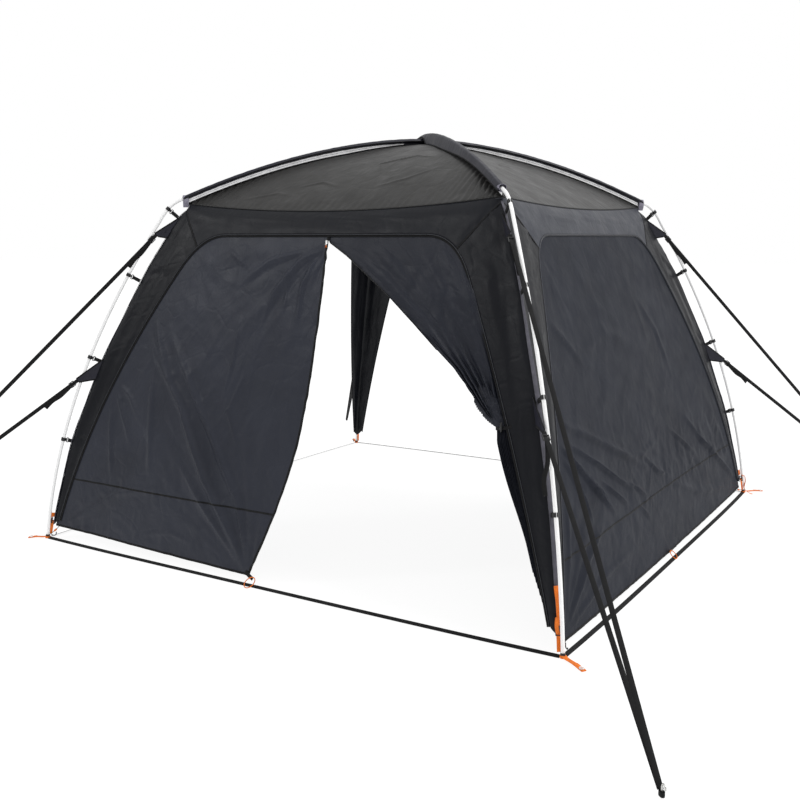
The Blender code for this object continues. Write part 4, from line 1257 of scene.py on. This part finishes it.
def gussets(corner, degrees, seed):
    """Cloth triangles that carry the guy lines, with hemmed edges."""
    offset = guy_offset(corner)
    u = np.linspace(0, 1, 28)[:, None]
    v = np.linspace(0, 1, 14)[None]
    ripple = 0.0022 * noise(u * 3, v * 4, seed) * np.sin(pi * u)
    uv = np.stack(np.broadcast_arrays(u * 0.2, v * 0.1), -1)
    bodies = []
    hems = []
    for high, low, tip_reach, tip_height in (UPPER_GUSSET, LOWER_GUSSET):
        way = unit(diagonal_point(GUY_REACH - tip_reach, GUY_FOOT - tip_height))
        side = np.cross(ACROSS, way) * WEBBING / 2
        heights = low + (high - low) * np.array((0, 1))
        inner = diagonal_point(skin_half(heights) * sqrt(2) - 0.014, heights, offset * 0.85)
        tip = diagonal_point(tip_reach, tip_height, offset)
        outer = sorted((tip + side, tip - side), key=lambda point: point[2])
        near, far = (ends[0] + (ends[1] - ends[0]) * v[..., None] for ends in (inner, outer))
        points = near + (far - near) * u[..., None] + ripple[..., None] * ACROSS
        bodies.append(grid_body(points, uv))
        hems += [strap(points[:, index], side, 0.008, 0.0022) for index in (0, -1)]
    item = add("guy_gussets_" + corner, bodies, SLEEVE, degrees, thickness=CLOTH)
    return item, add("gusset_hems_" + corner, hems, BLACK_WEBBING, degrees)


def ladder_lock(middle, way, width_way):
    """Buckle frame of two rails and three bars."""
    width_way = unit(width_way - way * (width_way @ way))
    axes = (width_way, np.cross(way, width_way), way)
    bodies = []
    for share in (-0.5, 0.5):
        bodies.append(block(middle + width_way * share * LOCK_WIDTH, axes, (0.0042, 0.0055, LOCK_LENGTH)))
    for share in (-0.44, 0.02, 0.44):
        bodies.append(block(middle + way * share * LOCK_LENGTH, axes, (LOCK_WIDTH, 0.0042, 0.0040)))
    return bodies


# Loose tails of the guy lines, from the buckle, as steps (over, along, across, up)
LYING_TAIL = ((-0.002, 0, 0, 0), (0, 0.024, 0, -0.006), (0, 0.080, 0, -0.016), (0, 0.130, 0, -0.012),
              (0, 0.175, 0, -0.022))
HANGING_TAIL = ((-0.002, 0, 0, 0), (-0.004, 0.022, 0, 0), (0, 0.034, 0, -0.075),
                (0, 0.022, -0.010, -0.150), (0, 0.026, -0.004, -0.215))
PEG_LINE = ((0, 0.0), (0, 0.018), (0, 0.036), (0.004, 0.0445), (0.012, 0.0478), (0.0195, 0.0435),
            (0.0215, 0.034))


def guy_set(corner, degrees):
    """Guy webbing from both gussets to the peg, with a buckle and a loose tail at the top of each."""
    drift = GUY_DRIFT[GUY_FACING[corner]]
    facing = UP if GUY_FACING[corner] == "along" else ACROSS
    foot = diagonal_point(GUY_REACH, GUY_FOOT, drift)
    line = np.linspace(0, 1, 60)[:, None]
    webbing = []
    buckles = []
    for gusset in (UPPER_GUSSET, LOWER_GUSSET):
        top = diagonal_point(gusset[2], gusset[3], guy_offset(corner))
        way = unit(foot - top)
        flat = unit(facing - way * (facing @ way))
        over = np.cross(way, flat)
        lock = top + way * 0.034
        buckles += ladder_lock(lock, way, flat)
        taut = lock + (foot - way * 0.012 - lock) * line + over * 0.0020 * (1 - line)
        webbing.append(strap(taut, flat, WEBBING * 0.94, WEBBING_THICKNESS))
        short = top + (lock - top) * np.linspace(0, 1, 8)[:, None] - over * 0.0012
        webbing.append(strap(short, flat, WEBBING * 0.9, 0.0020))
        hanging = gusset is LOWER_GUSSET and corner in RAISED
        steps = np.array(HANGING_TAIL if hanging else LYING_TAIL)
        tail = curve(lock + steps @ np.array((over, way, ACROSS, UP)), 26)
        webbing.append(strap(tail, flat + 0.2 * ACROSS, WEBBING * 0.9, 0.0016))
    eye = loop(foot, OUTWARD * 0.0125, ACROSS * 0.0075)
    webbing.append(sweep(eye, flat_profile(WEBBING_THICKNESS, 0.016), UP, closed=True))
    add("guy_webbing_" + corner, webbing, BLACK_WEBBING, degrees, "guy_lines_" + corner)
    add("guy_buckles_" + corner, buckles, PLASTIC, degrees, sharp=SHARP_ANGLE)
    line = curve(PEG_LINE, 40)
    peg = tube(diagonal_point(GUY_REACH + line[:, 0], line[:, 1] + 0.0002, drift), PEG_WIRE, ACROSS, 12)
    add("peg_" + corner, [peg], PLATED, degrees, "guy_peg_" + corner)


# Loose tails of the foot straps, from the buckle, as steps (outward, across, up)
LONG_FOOT_TAIL = ((0.003, 0, 0), (0.006, 0, 0.018), (0.024, 0, 0.014), (0.032, 0, -0.020),
                  (0.018, -0.014, -0.062), (0.034, -0.040, -0.086), (0.050, -0.062, -0.092))
SHORT_FOOT_TAIL = ((0.003, 0, 0), (0.006, -0.006, -0.004), (0.004, -0.012, 0.026), (0.002, -0.010, 0.060))


def foot_set(corner, degrees):
    """Orange peg tab with its eyelet, the strap that pulls the corner down, its buckle and its hook."""
    start = DIAGONAL + 0.004
    length = TAB_LENGTH[corner]
    reach = np.linspace(start, DIAGONAL + length, 26)
    share = (reach - start) / length
    drift = TAB_DRIFT[corner] * (reach - start)
    height = 0.0035 + 0.010 * np.exp(-share / 0.16) + 0.005 * np.sin(pi * share) ** 2
    tab = diagonal_point(reach, height, drift)
    wrap = loop(diagonal_point(DIAGONAL - 0.001, 0.0070), OUTWARD * 0.0122, ACROSS * 0.0122)
    heights = np.linspace(LIFT_TOP[corner], 0.118, 30)
    skin = skin_half(heights) * sqrt(2) + 0.0032
    lift = diagonal_point(skin, heights, -0.004 * smooth(heights, 0.20, 0.27))
    lock = diagonal_point(skin_half(LOCK_HEIGHT) * sqrt(2) + 0.0075, LOCK_HEIGHT, -0.008)
    below = diagonal_point(DIAGONAL - 0.0135, 0.022, -0.009)
    pull = lock + (below - lock) * np.linspace(0, 1, 18)[:, None]
    if corner == "front_right":
        lift_way = ACROSS + 0.6 * np.sin(pi * np.linspace(0, 1, 30))[:, None] * OUTWARD
        pull_way = ACROSS
    else:
        lift_way = 0.45 * ACROSS + OUTWARD
        pull_way = 0.6 * ACROSS + OUTWARD
    if corner == "back_right":
        tail = curve(lock + np.array(LONG_FOOT_TAIL) @ AXES, 34)
    else:
        tail = curve(lock + np.array(SHORT_FOOT_TAIL) @ AXES, 22)
    orange = [strap(tab, ACROSS, WEBBING, 0.0022),
              strap(tab[14:] + UP * 0.0023, ACROSS, WEBBING * 0.98, 0.0020),
              sweep(wrap, flat_profile(WEBBING_THICKNESS, 0.011), UP, closed=True),
              strap(lift, lift_way, WEBBING * 1.1, WEBBING_THICKNESS),
              strap(pull, pull_way, WEBBING * 1.05, WEBBING_THICKNESS),
              strap(tail, ACROSS + 0.3 * OUTWARD, WEBBING * 0.7, WEBBING_THICKNESS)]
    add("foot_straps_" + corner, orange, ORANGE_WEBBING, degrees, "foot_anchor_" + corner)
    hook_start = diagonal_point(DIAGONAL - 0.050, 0.040, 0.030)
    hook = curve((hook_start, hook_start - UP * 0.016 + OUTWARD * 0.004,
                  diagonal_point(DIAGONAL - 0.030, 0.0225, 0.0290),
                  diagonal_point(DIAGONAL - 0.024, 0.030, 0.0290)), 20)
    buckle = ladder_lock(lock, unit(below - lock), ACROSS)
    add("foot_buckle_" + corner, [*buckle, tube(hook, 0.0026, ACROSS, 8)], PLASTIC, degrees,
        sharp=SHARP_ANGLE)
    eye = diagonal_point(DIAGONAL + length - 0.016, 0.0065, drift[-4])
    eyelet = [ring(eye + UP * (0.0030 + 0.0012 * k), UP, 0.0080, 0.0024) for k in (-1, 1)]
    add("tab_eyelet_" + corner, eyelet, WHITE_PLASTIC, degrees)


def ground_webbing(side, degrees):
    """Strap from foot to foot along the ground, bowed out a little and rolled on its edge."""
    end = HALF - 0.0130
    across = np.linspace(-end, end, 120)
    out = STRAP_OUT * (1 - (across / end) ** 4)
    line = np.stack((across, -HALF - out, np.full_like(across, STRAP_HEIGHT)), -1)
    roll = radians(STRAP_ROLL)
    body = sweep(line, flat_profile(WEBBING * 0.96, WEBBING_THICKNESS), (0, -sin(roll), cos(roll)))
    add("ground_webbing_" + side, [body], BLACK_WEBBING, degrees, "ground_strap_" + side)


def hem_fastening(side, degrees, across, hem_point):
    """Tab sewn to the hem, with a ring round the ground strap."""
    tab_low = np.array((across, -HALF + 0.0070, 0.0300))
    tab_top = hem_point + (0, -0.004, 0.014)
    line = curve((tab_top, (tab_top + tab_low) / 2 - (0, 0.002, 0), tab_low), 10)
    tab = strap(line, (1, 0, 0), 0.0180, 0.0016)
    add("hem_tab_" + side, [tab], BLACK_WEBBING, degrees, "hem_tie_" + side)
    lean = RING_LEAN[side]
    line = loop((across, -HALF + 0.009 - lean, 0.0205), (0.0250, 0, 0), (0, lean, 0.0175), 30)
    band = sweep(line, round_profile(0.0022, 8), (0, 1, -1), closed=True)
    add("hem_ring_" + side, [band], ORANGE_WEBBING, degrees)


def hem_elastic(corner, degrees, start, way, bead):
    """Elastic cord from a hem corner to the foot of the leg, with a bead on it."""
    end = np.array((way * (HALF - 0.012), -HALF + 0.006, 0.020))
    middle = (start + end) / 2 - UP * 0.003
    line = curve((start, middle, end), 18)
    add("hem_elastic_" + corner, [tube(line, 0.0016, sides=8)], BLACK_WEBBING, degrees)
    lengths = np.linspace(-0.010, 0.010, 9)
    line = middle + unit(end - start) * lengths[:, None]
    body = sweep(line, round_profile(0.0052, 10), UP, 0.6 + 0.4 * np.cos(lengths * 110))
    add("hem_bead_" + corner, [body], bead, degrees)


def zip_pull():
    """Slider at the top of the door zip, with its cord and end bead."""
    top = wall_point("front", ZIP_TOP[0], ZIP_TOP[1] - 0.004, -0.003)
    slider = [block(top, np.eye(3), (0.0095, 0.0060, 0.0170)),
              ring(top + (0, -0.0045, -0.010), (0, 1.0, 0.2), 0.0042, 0.0010)]
    add("zip_slider", slider, WHITE_PLASTIC, sharp=SHARP_ANGLE)
    cords = []
    for way in (-1, 1):
        steps = ((0, -0.0050, -0.013), (0.0045 * way, -0.006, -0.030), (0.001 * way, -0.006, -0.052))
        cords.append(tube(curve(top + np.array(steps), 16), 0.0014, (0, 1, 0), 8))
    add("zip_cord", cords, ORANGE_WEBBING)
    bead = curve(top + np.array(((0, -0.006, -0.048), (0, -0.006, -0.060), (0.001, -0.006, -0.074))), 12)
    scale = 0.55 + 0.45 * np.sin(np.linspace(0.2, pi - 0.1, 12))
    add("zip_bead", [sweep(bead, round_profile(0.0042), (0, 1, 0), scale)], PLASTIC)


def door_tie():
    """Band and toggle that hold the gathered cloth to the leg."""
    height = TIE_HEIGHT + 0.004
    middle = wall_point("front", opening_half(height) - 0.018, height, 0.030)
    line = loop(middle, (0.050, 0, 0.010), (0, 0.036, 0), 40)
    add("door_tie", [sweep(line, flat_profile(0.0020, 0.014), UP, closed=True)], BLACK_WEBBING)
    toggle_at = middle + (-0.010, -0.040, 0.004)
    line = curve((toggle_at + UP * 0.020, toggle_at, toggle_at - UP * 0.020), 12)
    scale = 0.6 + 0.4 * np.sin(np.linspace(0.3, pi - 0.3, 12))
    add("door_toggle", [sweep(line, round_profile(0.0055), (0, 1, 0), scale)], PLASTIC)


# Assembly
for side_name, angle in SIDES.items():
    seed_base = 100 + angle
    roof_cloth(side_name, angle, seed_base)
    band_cloth(side_name, angle, seed_base + 20)
    opening_trims(side_name, angle)
    eave_seam(side_name, angle)
    ground_webbing(side_name, angle)
for corner_name, angle in CORNERS.items():
    seed_base = 600 + angle
    leg, leg_base, leg_folded = leg_cloth(corner_name, angle, seed_base)
    fin = corner_binding(corner_name, angle, leg_folded)
    clip_loops = pole_clips(corner_name, angle)
    gusset_cloth, gusset_hem = gussets(corner_name, angle, seed_base + 30)
    leg_pole(corner_name, angle)
    guy_set(corner_name, angle)
    foot_set(corner_name, angle)
    vent_net(corner_name, angle, seed_base + 50)
pole_sleeve("lower", 90, 71)
pole_sleeve("upper", 0, 72)

wall, wall_base, wall_folded = wall_cloth("right", 90, 300)
seam_line, seam_faces = level_line(wall_base, wall_folded, WALL_SEAM)
wall_seam = tape_on("wall_seam_right", 90, seam_line, seam_faces, SEAM_TAPES["wall"], 0.0008)
wall_hem = tape_on("wall_hem_right", 90, wall_folded[0], normals(wall_folded)[0], HEM_TAPE)
door, door_base, door_folded = door_left_cloth(400)
seam_line, seam_faces = level_line(door_base, door_folded, WALL_SEAM)
door_faces = normals(door_folded)
free_edge = 0.6 * door_folded[:, -1] + 0.4 * door_folded[:, -2]
door_tapes = (tape_on("door_seam_left", 0, seam_line, seam_faces, SEAM_TAPES["door"], 0.0008),
              tape_on("door_hem_left", 0, door_folded[0], door_faces[0], HEM_TAPE),
              tape_on("door_binding_left", 0, free_edge, door_faces[:, -1], ZIP_EDGE))
drawn, drawn_folded = door_right_cloth(500)
crest = drawn_folded.shape[1] * 22 // 122
drawn_faces = -normals(drawn_folded)
drawn_tape = tape_on("drawn_zip_tape", 0, drawn_folded[:50, crest], drawn_faces[:50, crest],
                     DRAWN_TAPE, 0.0010)
gathered_bundle(520)
hem_fastening("front", 0, HEM_TIE_FRONT, door_folded[0, -3])
tie_column = int(np.argmin(np.abs(wall_folded[0, :, 0] - HEM_TIE_RIGHT)))
hem_fastening("right", 90, HEM_TIE_RIGHT, wall_folded[0, tie_column])
hem_elastic("front_left", 0, door_folded[1, 4], -1, ORANGE_WEBBING)
hem_elastic("front_right", 90, wall_folded[1, 5], -1, PLASTIC)
hem_elastic("back_right", 90, wall_folded[1, -6], 1, ORANGE_WEBBING)
zip_pull()
door_tie()
for name in ("arch_pole_lower", "arch_pole_upper"):
    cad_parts[name].data.materials.clear()
    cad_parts[name].data.materials.append(PAINT)


# Stage, light and camera
def sun_light(name, place, strength, width):
    """A soft sun that points from its place to the middle of the floor."""
    data = bpy.data.lights.new(name, "SUN")
    data.energy = strength
    data.angle = radians(width)
    lamp = bpy.data.objects.new(name, data)
    lamp.location = place
    lamp.rotation_euler = (-lamp.location).to_track_quat("-Z", "Y").to_euler()
    bpy.context.scene.collection.objects.link(lamp)


floor_mesh = bpy.data.meshes.new("studio_floor")
floor_mesh.from_pydata([(x * FLOOR_HALF, y * FLOOR_HALF, 0) for x, y in ((-1, -1), (1, -1), (1, 1), (-1, 1))],
                       [], [(0, 1, 2, 3)])
floor = bpy.data.objects.new("studio_floor", floor_mesh)
floor_material, _, floor_shader = start_material("studio_floor", (FLOOR_TONE,) * 3, 0.9, 0.0)
fill(floor_shader, Emission_Color=(1, 1, 1, 1), Emission_Strength=FLOOR_GLOW)
floor_mesh.materials.append(floor_material)
bpy.context.scene.collection.objects.link(floor)

world = bpy.data.worlds.new("studio")
world.use_nodes = True
sky = world.node_tree
sky.nodes["Background"].inputs["Color"].default_value = (1, 1, 1, 1)
# The sky is brighter on the side that the light comes from, and plain white where the camera sees it
toward = node(sky, "ShaderNodeVectorMath", {"operation": "DOT_PRODUCT"})
sky.links.new(node(sky, "ShaderNodeTexCoord").outputs["Generated"], toward.inputs[0])
toward.inputs[1].default_value = (0.45, 0.80, 0.25)
graded = spread(sky, toward.outputs["Value"], 0.36, 1.05, -0.9, 0.9)
seen = node(sky, "ShaderNodeLightPath").outputs["Is Camera Ray"]
sky.links.new(combine(sky, seen, graded, "MAXIMUM"), sky.nodes["Background"].inputs["Strength"])
bpy.context.scene.world = world
bpy.context.scene.view_settings.view_transform = "Standard"
sun_light("key", (2.4, 1.2, 5.0), 1.3, 25)
sun_light("side", (-4.0, -3.6, 4.0), 0.42, 10)

camera_data = bpy.data.cameras.new("camera")
camera_data.lens = CAMERA_LENS
camera_data.sensor_width = 36
camera = bpy.data.objects.new("camera", camera_data)
camera.location = CAMERA_PLACE
camera.rotation_euler = (radians(90 - CAMERA_DIP), 0, radians(CAMERA_TURN))
bpy.context.scene.collection.objects.link(camera)
bpy.context.scene.camera = camera
